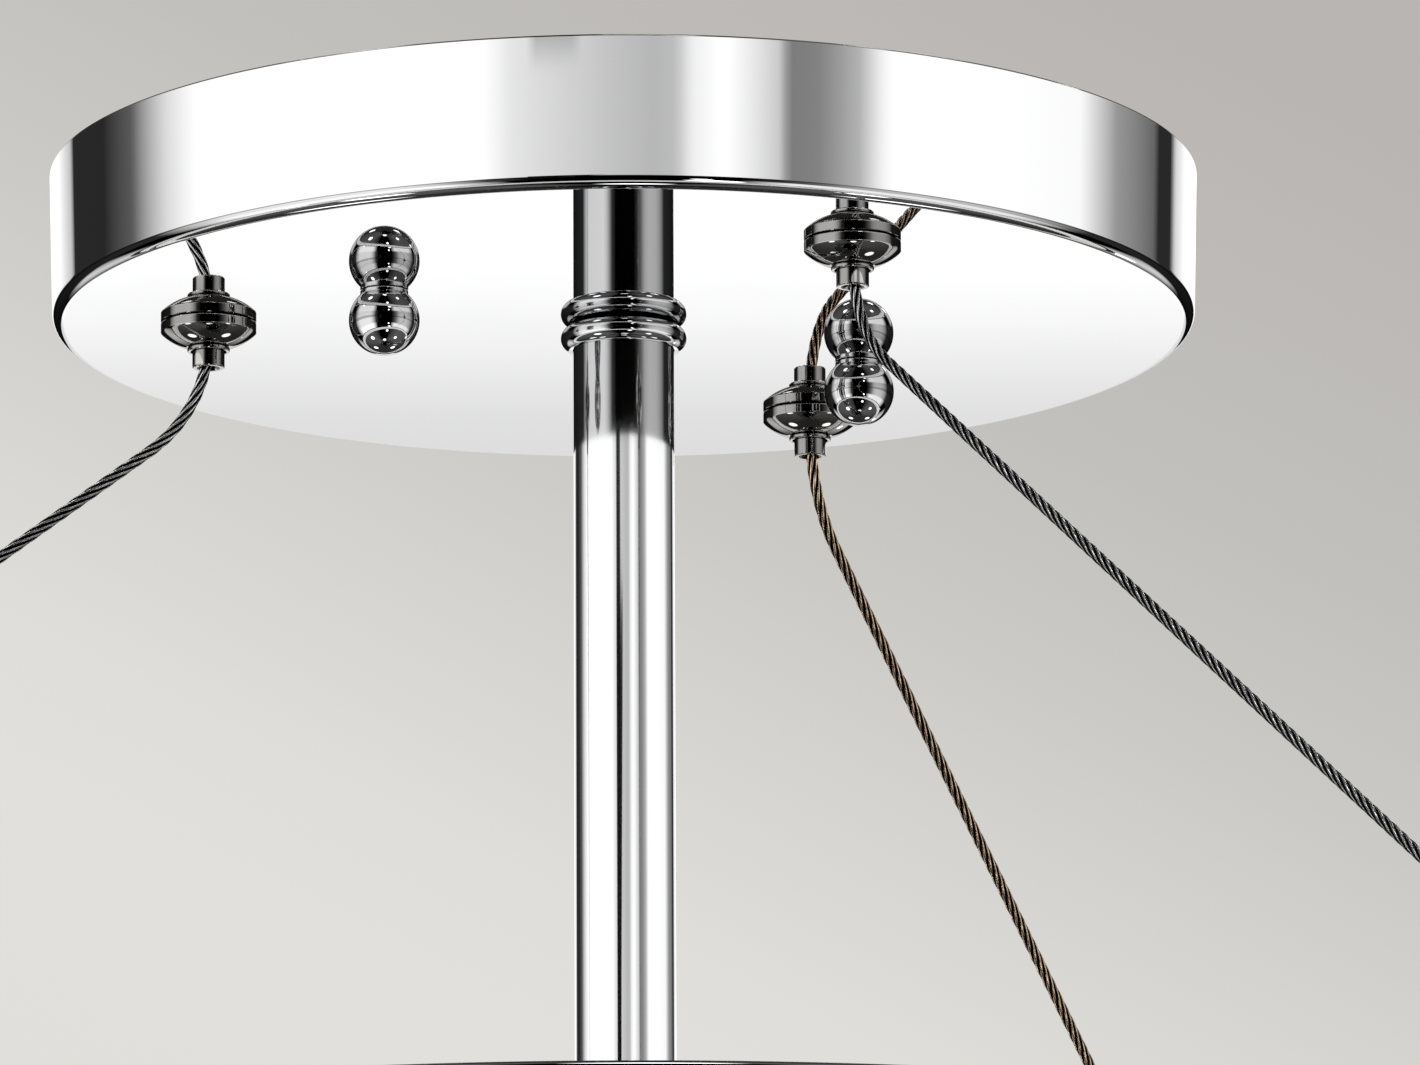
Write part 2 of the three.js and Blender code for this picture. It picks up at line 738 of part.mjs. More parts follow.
// The dish is part of a sphere with a flat lip turned outwards.
function glassDish() {
  const lipZ = gasketZ + gasketHeight + seatGap;
  const mouth = ledgeInner - 2 * boreGap;
  const sphere = (mouth * mouth + dishDepth * dishDepth) / (2 * dishDepth);
  const centreZ = lipZ - dishDepth + sphere;
  const rimAngle = -Math.acos(mouth / sphere);
  const inner = sphere - glassThickness;
  const innerZ = lipZ + glassThickness;
  const innerAngle = Math.asin((innerZ - centreZ) / inner);
  return turned([
    [0, centreZ - sphere],
    ...arcPoints(0, centreZ, sphere, -Math.PI / 2, rimAngle, dishSteps).slice(1),
    [lipOuter, lipZ],
    [lipOuter, innerZ],
    ...arcPoints(0, centreZ, inner, innerAngle, -Math.PI / 2, dishSteps).slice(0, -1),
    [0, centreZ - inner],
  ], wideSides);
}
place("glass_dish", glassDish(), finish.opalGlass);

// Terminal block with its screw, and the earth screw, under the plate.
function terminalBlock() {
  const top = plateZ - seatGap;
  const mid = top - blockHeight / 2;
  const body = new THREE.BoxGeometry(blockAcross, blockLength, blockHeight).translate(blockStation, 0, mid);
  const wireWays = [-blockPitch, blockPitch].map((y) =>
    rod(blockBore, -blockAcross, blockAcross).rotateY(Math.PI / 2).translate(blockStation, y, mid));
  const through = moved(rod(blockScrewRadius + boreGap, top - blockHeight - overrun, top + overrun), blockStation, 0);
  return cut(body, ...wireWays, through);
}
place("terminal_block", terminalBlock(), finish.nylon);

function slottedScrew(shankRadius, headRadius, headHeight, headTopZ, shankTopZ) {
  const bottom = headTopZ - headHeight;
  const screw = turned([
    [0, bottom],
    [headRadius - flangeEdge, bottom],
    [headRadius, bottom + flangeEdge],
    [headRadius, headTopZ],
    [shankRadius, headTopZ],
    [shankRadius, shankTopZ],
    [0, shankTopZ],
  ], smallSides);
  const slot = new THREE.BoxGeometry(2 * headRadius + overrun, earthSlotWidth, headHeight);
  slot.translate(0, 0, bottom);
  return cut(screw, slot);
}
place("block_screw",
  slottedScrew(blockScrewRadius, blockScrewHead, blockScrewHeadHeight, plateZ - blockHeight - 2 * seatGap, -plateSink),
  finish.zinc, blockStation, 0);
place("earth_screw",
  slottedScrew(earthRadius, earthHeadRadius, earthHeadHeight, plateZ - seatGap, -plateSink),
  finish.brass, -blockStation, 0);

export default light;
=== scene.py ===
"""Looks of a ceiling light: polished canopy, wire ropes, down tube, lamp pan, rim ring and opal dish."""
import logging
import math
from dataclasses import dataclass
from enum import Enum
from typing import Callable, Iterable, Sequence

import bmesh
import bpy
from mathutils import Matrix, Vector


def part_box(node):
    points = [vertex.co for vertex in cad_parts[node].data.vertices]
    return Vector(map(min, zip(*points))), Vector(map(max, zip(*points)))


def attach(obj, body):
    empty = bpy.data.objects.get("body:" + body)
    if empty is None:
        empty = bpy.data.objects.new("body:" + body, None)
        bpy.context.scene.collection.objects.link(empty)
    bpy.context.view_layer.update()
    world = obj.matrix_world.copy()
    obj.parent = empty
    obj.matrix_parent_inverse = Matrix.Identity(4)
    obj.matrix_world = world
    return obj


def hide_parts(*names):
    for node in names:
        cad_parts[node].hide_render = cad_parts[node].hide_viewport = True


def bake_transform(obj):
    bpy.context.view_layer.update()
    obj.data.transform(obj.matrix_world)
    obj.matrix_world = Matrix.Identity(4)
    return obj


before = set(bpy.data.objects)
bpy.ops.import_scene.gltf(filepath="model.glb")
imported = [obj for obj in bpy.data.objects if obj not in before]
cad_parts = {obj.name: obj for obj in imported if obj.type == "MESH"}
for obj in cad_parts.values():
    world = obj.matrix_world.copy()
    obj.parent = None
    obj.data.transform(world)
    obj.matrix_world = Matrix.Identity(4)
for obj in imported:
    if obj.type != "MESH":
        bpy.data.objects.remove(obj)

Point = tuple[float, float]
Outline = Sequence[Sequence[float]]
Colour = tuple[float, float, float]
Piece = bpy.types.Object
Socket = bpy.types.NodeSocket
Body = bmesh.types.BMesh
Vertex = bmesh.types.BMVert

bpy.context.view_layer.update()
LOG = logging.getLogger("ceiling_light")
MM = 0.001
FULL_TURN = 2 * math.pi
UP = Vector((0, 0, 1))
SEAT_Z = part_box("canopy_pan")[0][2]
PHOTO_TURN = 32.75
ROPE_SLOPE = 1.355
NIPPLE_HOLE = 5.2 * MM
STUD_HOLE = 2.3 * MM

SHARP_DEGREES = 28.0
WIRE_SHARP_DEGREES = 60.0
GUARD = 0.03 * MM
GUARDED_LENGTH = 12 * GUARD
MERGE_DISTANCE = 1e-7
CORNER_STEPS = 3
CUTTER_MARGIN = 2 * MM
NUT_FACE_SHARE = 0.48
NUT_EASE = 0.35 * MM
NUT_CHAMFER = math.tan(math.radians(30))
THREAD_DEPTH_SHARE = 0.5
THREAD_FORM = ((0.08, False), (0.44, True), (0.56, True), (0.92, False))

CROWN = "crown"
WEAR_SCALES = (("Cloud Scale", 30.0), ("Hairline Scale", 900.0), ("Stretch", 8.0))


class Side(Enum):
    """The two ball nuts, named by the side of the plate that they hang from."""

    RIGHT = "right"
    LEFT = "left"


class Slot(Enum):
    """Material slots of the record, one named by each finish."""

    CHROME = "polished_chrome"
    GRIP = "grip_chrome"
    ROPE = "rope_steel"
    ZINC = "zinc_plate"
    BRASS = "turned_brass"
    NYLON = "white_nylon"
    CERAMIC = "white_ceramic"
    LAMP = "lamp_glass"
    OPAL = "opal_glass"
    FELT = "grey_felt"


# Outlines, as distance from the axis and height of each point

def heights(node: str) -> Point:
    """Lowest and highest z of a node."""
    low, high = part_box(node)
    return low[2], high[2]


def arc(cx: float, cz: float, radius: float, start: float, end: float, steps: int = 8) -> list[Point]:
    """Points of a round stretch about a centre, between two angles in degrees."""
    turns = [math.radians(start + (end - start) * i / steps) for i in range(steps + 1)]
    return [(cx + radius * math.cos(t), cz + radius * math.sin(t)) for t in turns]


def heading(start: Sequence[float], end: Sequence[float]) -> Point:
    """Direction from one point to another, along the axis that it follows more."""
    r, z = end[0] - start[0], end[1] - start[1]
    return (math.copysign(1, r), 0.0) if abs(r) > abs(z) else (0.0, math.copysign(1, z))


def rounded(outline: Outline) -> list[Point]:
    """Round the corners that ask for it.

    Args:
        outline: Points with two numbers, and right-angled corners with their radius as a third number and,
            where it isn't three, the number of their chords as a fourth.

    Returns:
        The outline's points.
    """
    points: list[Point] = []
    for i, corner in enumerate(outline):
        if len(corner) == 2:
            points.append(tuple(corner))
            continue
        r, z, ease, steps = (*corner, CORNER_STEPS)[:4]
        back, on = heading(corner, outline[i - 1]), heading(corner, outline[(i + 1) % len(outline)])
        for turn in (math.radians(90) * step / steps for step in range(steps + 1)):
            b, o = ease * (1 - math.sin(turn)), ease * (1 - math.cos(turn))
            points.append((r + back[0] * b + on[0] * o, z + back[1] * b + on[1] * o))
    return points


def section(inner: float, outer: float, low: float, high: float, ease: float, *inner_ease: float) -> Outline:
    """Outline of a plain ring with rounded edges, those of its bore only where they have their own radius."""
    return [(inner, low, *inner_ease), (outer, low, ease), (outer, high, ease), (inner, high, *inner_ease)]


def thread(radius: float, low: float, high: float, pitch: float) -> list[Point]:
    """Crests and roots of a thread.

    Args:
        radius: Radius over the crests.
        low: Height of the lower end.
        high: Height of the upper end.
        pitch: Distance between crests.

    Returns:
        Outline points, from the lower to the upper end.
    """
    count = max(1, int((high - low) / pitch))
    step = (high - low) / count
    root = radius - THREAD_DEPTH_SHARE * pitch
    return [(radius if crest else root, low + step * i + share * step)
            for i in range(count) for share, crest in THREAD_FORM]


def guarded(outline: Sequence[Point], closed: bool) -> list[Point]:
    """Add a point near each end of every long straight stretch, so that it is shaded dead straight.

    Args:
        outline: Points of an outline.
        closed: True if the outline closes on itself.

    Returns:
        The outline with its added points.
    """
    result: list[Point] = []
    count = len(outline)
    for i, (r, z) in enumerate(outline):
        result.append((r, z))
        if i == count - 1 and not closed:
            break
        r2, z2 = outline[(i + 1) % count]
        length = math.hypot(r2 - r, z2 - z)
        if length > GUARDED_LENGTH:
            share = GUARD / length
            result.append((r + (r2 - r) * share, z + (z2 - z) * share))
            result.append((r2 - (r2 - r) * share, z2 - (z2 - z) * share))
    return result


def hex_reach(turn: float, flats: float) -> float:
    """Distance from the axis to the side of a hexagon at an angle."""
    return flats / 2 / math.cos(turn % (FULL_TURN / 6) - FULL_TURN / 12)


# Mesh making

def linked(name: str, data: bpy.types.ID) -> Piece:
    """Put data into the scene as an object."""
    made = bpy.data.objects.new(name, data)
    bpy.context.scene.collection.objects.link(made)
    return made


def mesh_from(name: str, body: Body) -> bpy.types.Mesh:
    """Turn a bmesh into a mesh, and free it."""
    mesh = bpy.data.meshes.new(name)
    body.to_mesh(mesh)
    body.free()
    return mesh


def smooth(mesh: bpy.types.Mesh, sharp_degrees: float = SHARP_DEGREES) -> bpy.types.Mesh:
    """Shade a mesh smooth, apart from edges that turn more than an angle."""
    mesh.shade_smooth()
    mesh.set_sharp_from_angle(angle=math.radians(sharp_degrees))
    return mesh


def spin(name: str, column_at: Callable[[float], Sequence[Point]], at: Sequence[float] = (0, 0, 0),
         segments: int = 96, closed: bool = True) -> Piece:
    """Turn an outline that may change with the angle about a vertical axis.

    Args:
        name: Name of the piece.
        column_at: Outline at an angle, always with the same number of points.
        at: Foot of the axis.
        segments: Number of steps round the axis.
        closed: True if the outline closes on itself away from the axis.

    Returns:
        The turned object.
    """
    rings = bmesh.new()
    columns = []
    for i in range(segments):
        turn = FULL_TURN * i / segments
        across, along = math.cos(turn), math.sin(turn)
        columns.append([rings.verts.new((at[0] + r * across, at[1] + r * along, at[2] + z))
                        for r, z in column_at(turn)])
    count = len(columns[0])
    for i, column in enumerate(columns):
        beside = columns[(i + 1) % segments]
        for k in range(count if closed else count - 1):
            above = (k + 1) % count
            rings.faces.new((column[k], beside[k], beside[above], column[above]))
    bmesh.ops.remove_doubles(rings, verts=rings.verts, dist=MERGE_DISTANCE)
    bmesh.ops.dissolve_degenerate(rings, edges=rings.edges, dist=MERGE_DISTANCE)
    bmesh.ops.recalc_face_normals(rings, faces=rings.faces)
    return linked(name, smooth(mesh_from(name, rings)))


def revolve(name: str, outline: Outline, at: Sequence[float] = (0, 0, 0), segments: int = 96,
            closed: bool = True) -> Piece:
    """Turn one outline, which closes on itself unless told otherwise, about a vertical axis."""
    line = guarded(rounded(outline), closed)
    return spin(name, lambda turn: line, at, segments, closed)


def lathe(name: str, outline: Outline, at: Sequence[float] = (0, 0, 0),
          segments: int = 96) -> Piece:
    """Turn an outline that starts and ends on the axis."""
    return revolve(name, outline, at, segments, closed=False)


def hoop(body: Body, middle: Vector, first: Vector, second: Vector, radius: float,
         sides: int) -> list[Vertex]:
    """Add a round of vertices about a point, from one direction towards another."""
    turns = [FULL_TURN * k / sides for k in range(sides)]
    return [body.verts.new(middle + radius * (first * math.cos(t) + second * math.sin(t))) for t in turns]


def join_hoops(body: Body, hoops: Sequence[Sequence[Vertex]]) -> None:
    """Join hoops into a round bar with closed ends."""
    for low, high in zip(hoops, hoops[1:]):
        for k in range(len(low)):
            beside = (k + 1) % len(low)
            body.faces.new((low[k], low[beside], high[beside], high[k]))
    body.faces.new(hoops[0])
    body.faces.new(list(reversed(hoops[-1])))


def wound(name: str, body: Body) -> Piece:
    """Finish a piece that is made of joined hoops."""
    bmesh.ops.recalc_face_normals(body, faces=body.faces)
    return linked(name, smooth(mesh_from(name, body), WIRE_SHARP_DEGREES))


def block(name: str, size: Sequence[float], at: Sequence[float], ease: float = 0.0) -> Piece:
    """Make a cuboid with eased edges.

    Args:
        name: Name of the piece.
        size: Its three lengths.
        at: Its centre.
        ease: Radius of its edges.

    Returns:
        The object.
    """
    body = bmesh.new()
    bmesh.ops.create_cube(body, size=1.0)
    bmesh.ops.transform(body, matrix=Matrix.Translation(at) @ Matrix.Diagonal((*size, 1)), verts=body.verts)
    if ease:
        bmesh.ops.bevel(body, geom=body.edges[:], offset=ease, segments=4, profile=0.5, affect="EDGES")
    return linked(name, smooth(mesh_from(name, body)))


def drill(x: float, y: float, radius: float, low: float, high: float) -> Piece:
    """A round vertical cutter."""
    return lathe("cutter", [(0, low), (radius, low), (radius, high), (0, high)], (x, y, 0), 48)


def placed(piece: Piece, matrix: Matrix) -> Piece:
    """Move a piece's mesh, and keep the object at the origin."""
    piece.data.transform(matrix)
    return piece


def cut_away(piece: Piece, cutters: Iterable[Piece]) -> None:
    """Take cutters out of a piece, one after the other, and delete them."""
    for cutter in cutters:
        boolean = piece.modifiers.new("cut", "BOOLEAN")
        boolean.operation = "DIFFERENCE"
        boolean.solver = "EXACT"
        boolean.object = cutter
        evaluated = piece.evaluated_get(bpy.context.evaluated_depsgraph_get())
        cut = bpy.data.meshes.new_from_object(evaluated)
        piece.modifiers.clear()
        piece.data = smooth(cut)
        bpy.data.objects.remove(cutter)


# Finishes

class NodeBuilder:
    """Short way to add and link nodes in one tree."""

    def __init__(self, tree: bpy.types.NodeTree) -> None:
        """Keep the tree that the nodes go into."""
        self.tree = tree

    def add(self, kind: str, values: dict | None = None, **settings: object) -> bpy.types.Node:
        """Add a node.

        Args:
            kind: The node's type name.
            values: A socket or a value for each input, by its name or index.
            settings: Attributes of the node.

        Returns:
            The new node.
        """
        node = self.tree.nodes.new(kind)
        for key, value in settings.items():
            setattr(node, key, value)
        for key, value in (values or {}).items():
            self.feed(value, node.inputs[key])
        return node

    def link(self, start: Socket, end: Socket) -> None:
        """Join an output to an input."""
        self.tree.links.new(start, end)

    def feed(self, value: object, socket: Socket) -> None:
        """Link a socket, or write a value, to an input."""
        if isinstance(value, Socket):
            self.link(value, socket)
        else:
            socket.default_value = value

    def math(self, operation: str, first: object, second: object = None) -> Socket:
        """Work out a sum on one or two sockets or numbers."""
        values = {0: first} if second is None else {0: first, 1: second}
        return self.add("ShaderNodeMath", values, operation=operation).outputs[0]

    def mix(self, factor: object, first: object, second: object, kind: str = "FLOAT") -> Socket:
        """Mix two levels, or two colours where kind is RGBA, each a socket or a value."""
        values = {"Factor": factor, "A": first, "B": second}
        return self.add("ShaderNodeMix", values, data_type=kind).outputs["Result"]

    def dot(self, vector: Socket, along: Vector) -> Socket:
        """Length of a vector along a direction."""
        made = self.add("ShaderNodeVectorMath", {0: vector, 1: along}, operation="DOT_PRODUCT")
        return made.outputs["Value"]

    def span(self, value: Socket, first: float, last: float, low: float = 0.0,
             high: float = 1.0) -> Socket:
        """Turn the stretch from first to last into the stretch from low to high, held at both ends."""
        values = {"Value": value, "From Min": first, "From Max": last, "To Min": low, "To Max": high}
        return self.add("ShaderNodeMapRange", values).outputs["Result"]

    def ramp(self, factor: Socket, stops: Sequence[tuple[float, float | Colour]],
             soft: bool = False) -> Socket:
        """Add a ramp.

        Args:
            factor: Where on the ramp to read.
            stops: Place of each stop, with its grey level or its colour.
            soft: True for eased changes between stops.

        Returns:
            The ramp's colour socket.
        """
        node = self.add("ShaderNodeValToRGB", {0: factor})
        ramp = node.color_ramp
        ramp.interpolation = "EASE" if soft else "LINEAR"
        while len(ramp.elements) < len(stops):
            ramp.elements.new(0.5)
        for element, (place, tone) in zip(ramp.elements, stops):
            element.position = place
        for element, (place, tone) in zip(ramp.elements, stops):
            element.color = (*tone, 1) if isinstance(tone, tuple) else (tone, tone, tone, 1)
        return node.outputs[0]


def handled_surface_group() -> bpy.types.NodeTree:
    """Shared wear of handled metal: faint cloudy wipe marks and fine hairlines.

    Returns:
        A node group that puts out a mask of wipe marks and a height for the hairlines.
    """
    known = bpy.data.node_groups.get("handled_surface")
    if known:
        return known
    tree = bpy.data.node_groups.new("handled_surface", "ShaderNodeTree")
    for socket, value in WEAR_SCALES:
        tree.interface.new_socket(socket, in_out="INPUT", socket_type="NodeSocketFloat").default_value = value
    for socket in ("Marks", "Height"):
        tree.interface.new_socket(socket, in_out="OUTPUT", socket_type="NodeSocketFloat")
    nodes = NodeBuilder(tree)
    entry = nodes.add("NodeGroupInput").outputs
    place = nodes.add("ShaderNodeTexCoord").outputs["Object"]
    clouds = nodes.add("ShaderNodeTexNoise", {"Vector": place, "Scale": entry["Cloud Scale"], "Detail": 5.0,
                                              "Roughness": 0.6})
    squeeze = nodes.add("ShaderNodeCombineXYZ", {"X": 1.0, "Y": 1.0, "Z": entry["Stretch"]})
    stretched = nodes.add("ShaderNodeVectorMath", {0: place, 1: squeeze.outputs[0]}, operation="MULTIPLY")
    lines = nodes.add("ShaderNodeTexNoise", {"Vector": stretched.outputs[0], "Scale": entry["Hairline Scale"],
                                             "Detail": 2.0, "Roughness": 0.5})
    marks = nodes.ramp(clouds.outputs["Fac"], [(0.42, 0.0), (0.75, 1.0)], soft=True)
    nodes.add("NodeGroupOutput", {"Marks": marks, "Height": lines.outputs["Fac"]})
    return tree


@dataclass(frozen=True)
class Finish:
    """What all finishes share: a clean and a marked shade, and the wear of a handled surface."""

    name: str
    slot: Slot
    colour: Colour
    shade: Colour

    def material(self) -> bpy.types.Material:
        """Build the material, or find it if it is made.

        Returns:
            The material.
        """
        made = bpy.data.materials.get(self.name)
        if not made:
            made = bpy.data.materials.new(self.name)
            made.use_nodes = True
            self.fill(NodeBuilder(made.node_tree), made.node_tree.nodes["Principled BSDF"])
        return made

    def fill(self, nodes: NodeBuilder, shader: bpy.types.Node) -> None:
        """Set the shader up, in the way of each kind of finish."""
        raise NotImplementedError

    def wear(self, nodes: NodeBuilder, shader: bpy.types.Node, scales: Sequence[float],
             roughness: Point, relief: Point) -> Socket:
        """Give the shader its worn colour, roughness and relief.

        Args:
            nodes: Builder of the material's tree.
            shader: The material's shader.
            scales: Scale of the wipe marks, scale of the hairlines and their stretch.
            roughness: Roughness where clean and where marked.
            relief: Strength and depth of the hairlines.

        Returns:
            The worn colour's socket.
        """
        worn = nodes.add("ShaderNodeGroup", node_tree=handled_surface_group())
        for (name, _), scale in zip(WEAR_SCALES, scales):
            worn.inputs[name].default_value = scale
        marks = worn.outputs["Marks"]
        colour = nodes.mix(marks, (*self.colour, 1), (*self.shade, 1), "RGBA")
        nodes.link(colour, shader.inputs["Base Color"])
        nodes.link(nodes.span(marks, 0.0, 1.0, *roughness), shader.inputs["Roughness"])
        strength, depth = relief
        if depth:
            bump = nodes.add("ShaderNodeBump", {"Strength": strength, "Distance": depth,
                                                "Height": worn.outputs["Height"]})
            nodes.link(bump.outputs["Normal"], shader.inputs["Normal"])
        return colour


@dataclass(frozen=True)
class MetalFinish(Finish):
    """A bare or plated metal."""

    roughness: float
    marked_roughness: float
    cloud_scale: float = 30.0
    hairline_scale: float = 900.0
    stretch: float = 1.0
    hairline_depth: float = 0.0

    def fill(self, nodes: NodeBuilder, shader: bpy.types.Node) -> None:
        """Set the shader up as worn metal."""
        shader.inputs["Metallic"].default_value = 1.0
        self.wear(nodes, shader, (self.cloud_scale, self.hairline_scale, self.stretch),
                  (self.roughness, self.marked_roughness), (0.35, self.hairline_depth))


@dataclass(frozen=True)
class RopeFinish(Finish):
    """Bright stranded wire, with painted shade in the grooves between its strands and on its core."""

    painted_groove_shade: Colour
    roughness: float = 0.16
    dull_roughness: float = 0.34
    cloud_scale: float = 700.0
    wire_scale: float = 4200.0
    stretch: float = 0.3
    wire_depth: float = 0.00005
    painted_groove_shade_ends: Point = (0.8, 0.94)

    def fill(self, nodes: NodeBuilder, shader: bpy.types.Node) -> None:
        """Set the shader up as metal with painted glints, and painted shade that darkens it away from the
        strands' crowns.
        """
        shader.inputs["Metallic"].default_value = 1.0
        # On a rope the wear clouds swap the bright colour for a much darker one in patches about 1.5 mm
        # across: painted glints that come and go along the strands, with duller roughness in the dark
        # patches.
        bright = self.wear(nodes, shader, (self.cloud_scale, self.wire_scale, self.stretch),
                           (self.roughness, self.dull_roughness), (0.5, self.wire_depth))
        # Painted shade: the crown attribute runs from 1 on a strand's outer side to 0 on its inner side, and
        # the near-black groove colour takes over where it is low.
        crown = nodes.add("ShaderNodeAttribute", attribute_name=CROWN).outputs["Fac"]
        wire = nodes.mix(nodes.span(crown, *self.painted_groove_shade_ends), (*self.painted_groove_shade, 1), bright, "RGBA")
        nodes.link(wire, shader.inputs["Base Color"])


@dataclass(frozen=True)
class SolidFinish(Finish):
    """A finish that isn't metal: glass, ceramic, nylon or felt."""

    roughness: float
    coat: float = 0.0
    translucence: float = 0.0
    grain_scale: float = 300.0
    grain_depth: float = 0.00002
    cloud_scale: float = 12.0
    marked_gain: float = 1.3

    def fill(self, nodes: NodeBuilder, shader: bpy.types.Node) -> None:
        """Set the shader up as a worn solid with a coat and some light inside."""
        for name, value in (("Coat Weight", self.coat), ("Coat Roughness", 0.05),
                            ("Subsurface Weight", self.translucence), ("Subsurface Scale", 0.004)):
            shader.inputs[name].default_value = value
        self.wear(nodes, shader, (self.cloud_scale, self.grain_scale, 1.0),
                  (self.roughness, self.roughness * self.marked_gain), (0.3, self.grain_depth))


MIRROR_CHROME = MetalFinish("mirror_chrome", Slot.CHROME, (0.7, 0.7, 0.705), (0.685, 0.685, 0.69),
                            0.012, 0.03, 18.0)
TUBE_CHROME = MetalFinish("tube_chrome", Slot.CHROME, (0.7, 0.7, 0.705), (0.685, 0.685, 0.69),
                          0.06, 0.075, 18.0)
GRIP_CHROME = MetalFinish("grip_dark_chrome", Slot.GRIP, (0.45, 0.44, 0.425), (0.38, 0.37, 0.36),
                          0.02, 0.06, 160.0)
# The ropes are one steel. The warm copy paints golden reflections onto rope 1, and each rope's dark shade
# colour paints the dark patches between its glints.
COOL_ROPE = RopeFinish("rope_steel_cool", Slot.ROPE, (0.88, 0.88, 0.89), (0.22, 0.22, 0.225),
                       (0.004, 0.004, 0.004))
WARM_REFLECTION_ROPE = RopeFinish("rope_steel_painted_warm_reflection", Slot.ROPE, (1.0, 0.76, 0.5), (0.34, 0.19, 0.095),
                       (0.004, 0.003, 0.002))
ZINC_PLATE = MetalFinish("zinc_plate", Slot.ZINC, (0.74, 0.75, 0.78), (0.6, 0.62, 0.66),
                         0.32, 0.5, 90.0, 1200.0, 1.0, 0.00002)
TURNED_BRASS = MetalFinish("turned_brass", Slot.BRASS, (0.82, 0.64, 0.33), (0.66, 0.48, 0.22),
                           0.25, 0.42, 70.0, 900.0, 12.0, 0.00003)
WHITE_NYLON = SolidFinish("white_nylon", Slot.NYLON, (0.88, 0.87, 0.83), (0.8, 0.79, 0.75),
                          0.45, 0.0, 0.1, 900.0)
WHITE_CERAMIC = SolidFinish("white_ceramic", Slot.CERAMIC, (0.9, 0.89, 0.86), (0.85, 0.84, 0.8),
                            0.22, 0.7, 0.05, 200.0)
LAMP_GLASS = SolidFinish("frosted_lamp_glass", Slot.LAMP, (0.93, 0.92, 0.89), (0.9, 0.89, 0.85),
                         0.35, 0.2, 0.3, 500.0, 0.00001)
OPAL_GLASS = SolidFinish("opal_glass", Slot.OPAL, (0.9, 0.9, 0.88), (0.86, 0.86, 0.83),
                         0.2, 0.5, 0.25, 60.0, 0.00006, 6.0)
GREY_FELT = SolidFinish("grey_felt", Slot.FELT, (0.7, 0.69, 0.66), (0.55, 0.54, 0.51),
                        0.95, 0.0, 0.0, 2500.0, 0.0003, 300.0)


def dress(piece: Piece, finish: Finish) -> None:
    """Give a piece one finish in place of any material that it has."""
    piece.data.materials.clear()
    piece.data.materials.append(finish.material())


def settle(piece: Piece, finish: Finish, node: str, body: str = "root") -> None:
    """Dress a piece, tie it to its body and hide the solid that it stands for.

    Args:
        piece: The new object.
        finish: Its finish.
        node: The CAD node that it stands for.
        body: The body that it moves with.
    """
    dress(piece, finish)
    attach(piece, body)
    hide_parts(node)
    LOG.info("piece %s rides on %s", piece.name, body)


def hex_nut(name: str, node: str, flats: float, bore: float, finish: Finish, at: Point = (0.0, 0.0)) -> None:
    """Make a hexagon nut with chamfered corners and mouths.

    Args:
        name: Name of the piece.
        node: The node that it stands for, which gives its heights.
        flats: Distance between flats.
        bore: Radius of its bore.
        finish: Its finish.
        at: Its axis.
    """
    low, high = heights(node)
    face = NUT_FACE_SHARE * flats

    def column(turn: float) -> list[Point]:
        """Outline of the nut at one angle."""
        reach = hex_reach(turn, flats)
        fall = (reach - face) * NUT_CHAMFER
        return [(bore, low + NUT_EASE), (bore + NUT_EASE, low), (face, low), (reach, low + fall),
                (reach, high - fall), (face, high), (bore + NUT_EASE, high), (bore, high - NUT_EASE)]

    settle(spin(name, column, (*at, 0)), finish, node)


# Sub-assemblies

@dataclass
class Layout:
    """Places that the sub-assemblies share, in the row frame."""

    ball_spread: float = 43.7 * MM
    grip_spread: float = 64.3 * MM
    grip_turns: tuple[float, float, float] = (30.0, 150.0, 270.0)
    holder_spread: float = 105 * MM
    holder_turns: tuple[float, float, float] = (90.0, 210.0, 330.0)

    def around(self, radius: float, turns: Iterable[float]) -> list[Point]:
        """Places on a circle about the tube, by angle in degrees."""
        return [(radius * math.cos(math.radians(t)), radius * math.sin(math.radians(t))) for t in turns]

    def grips(self) -> list[Point]:
        """Places of the cable grips."""
        return self.around(self.grip_spread, self.grip_turns)

    def holders(self) -> list[Point]:
        """Places of the lampholders."""
        return self.around(self.holder_spread, self.holder_turns)

    def balls(self) -> dict[Side, Point]:
        """Places of the ball nuts."""
        return {Side.RIGHT: (self.ball_spread, 0.0), Side.LEFT: (-self.ball_spread, 0.0)}


@dataclass
class Canopy:
    """The pressed and polished canopy."""

    layout: Layout
    sheet: float = 1 * MM
    corner: float = 1.8 * MM
    taper: float = 0.5 * MM
    rim_edge: float = 0.25 * MM
    barrel_hole: float = 4.9 * MM

    def outline(self) -> Outline:
        """Outline of the pan from the middle of its face, round the rim, to the middle inside."""
        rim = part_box("canopy_pan")[1][0]
        wall = rim - self.taper
        return [
            (0, SEAT_Z),
            (wall, SEAT_Z, self.corner, 24),
            (rim, 0, self.rim_edge, 4),
            (rim - self.sheet, 0, self.rim_edge, 4),
            *arc(wall - self.corner, SEAT_Z + self.corner, self.corner - self.sheet, 0, -90, 8),
            (0, SEAT_Z + self.sheet),
        ]

    def build(self) -> None:
        """Make the canopy with its holes."""
        pan = lathe("canopy", self.outline(), segments=240)
        holes = [(0.0, 0.0, NIPPLE_HOLE)]
        holes += [(x, y, STUD_HOLE) for x, y in self.layout.balls().values()]
        holes += [(x, y, self.barrel_hole) for x, y in self.layout.grips()]
        low, high = SEAT_Z - CUTTER_MARGIN, SEAT_Z + self.sheet + CUTTER_MARGIN
        cut_away(pan, [drill(x, y, radius, low, high) for x, y, radius in holes])
        settle(pan, MIRROR_CHROME, "canopy_pan")


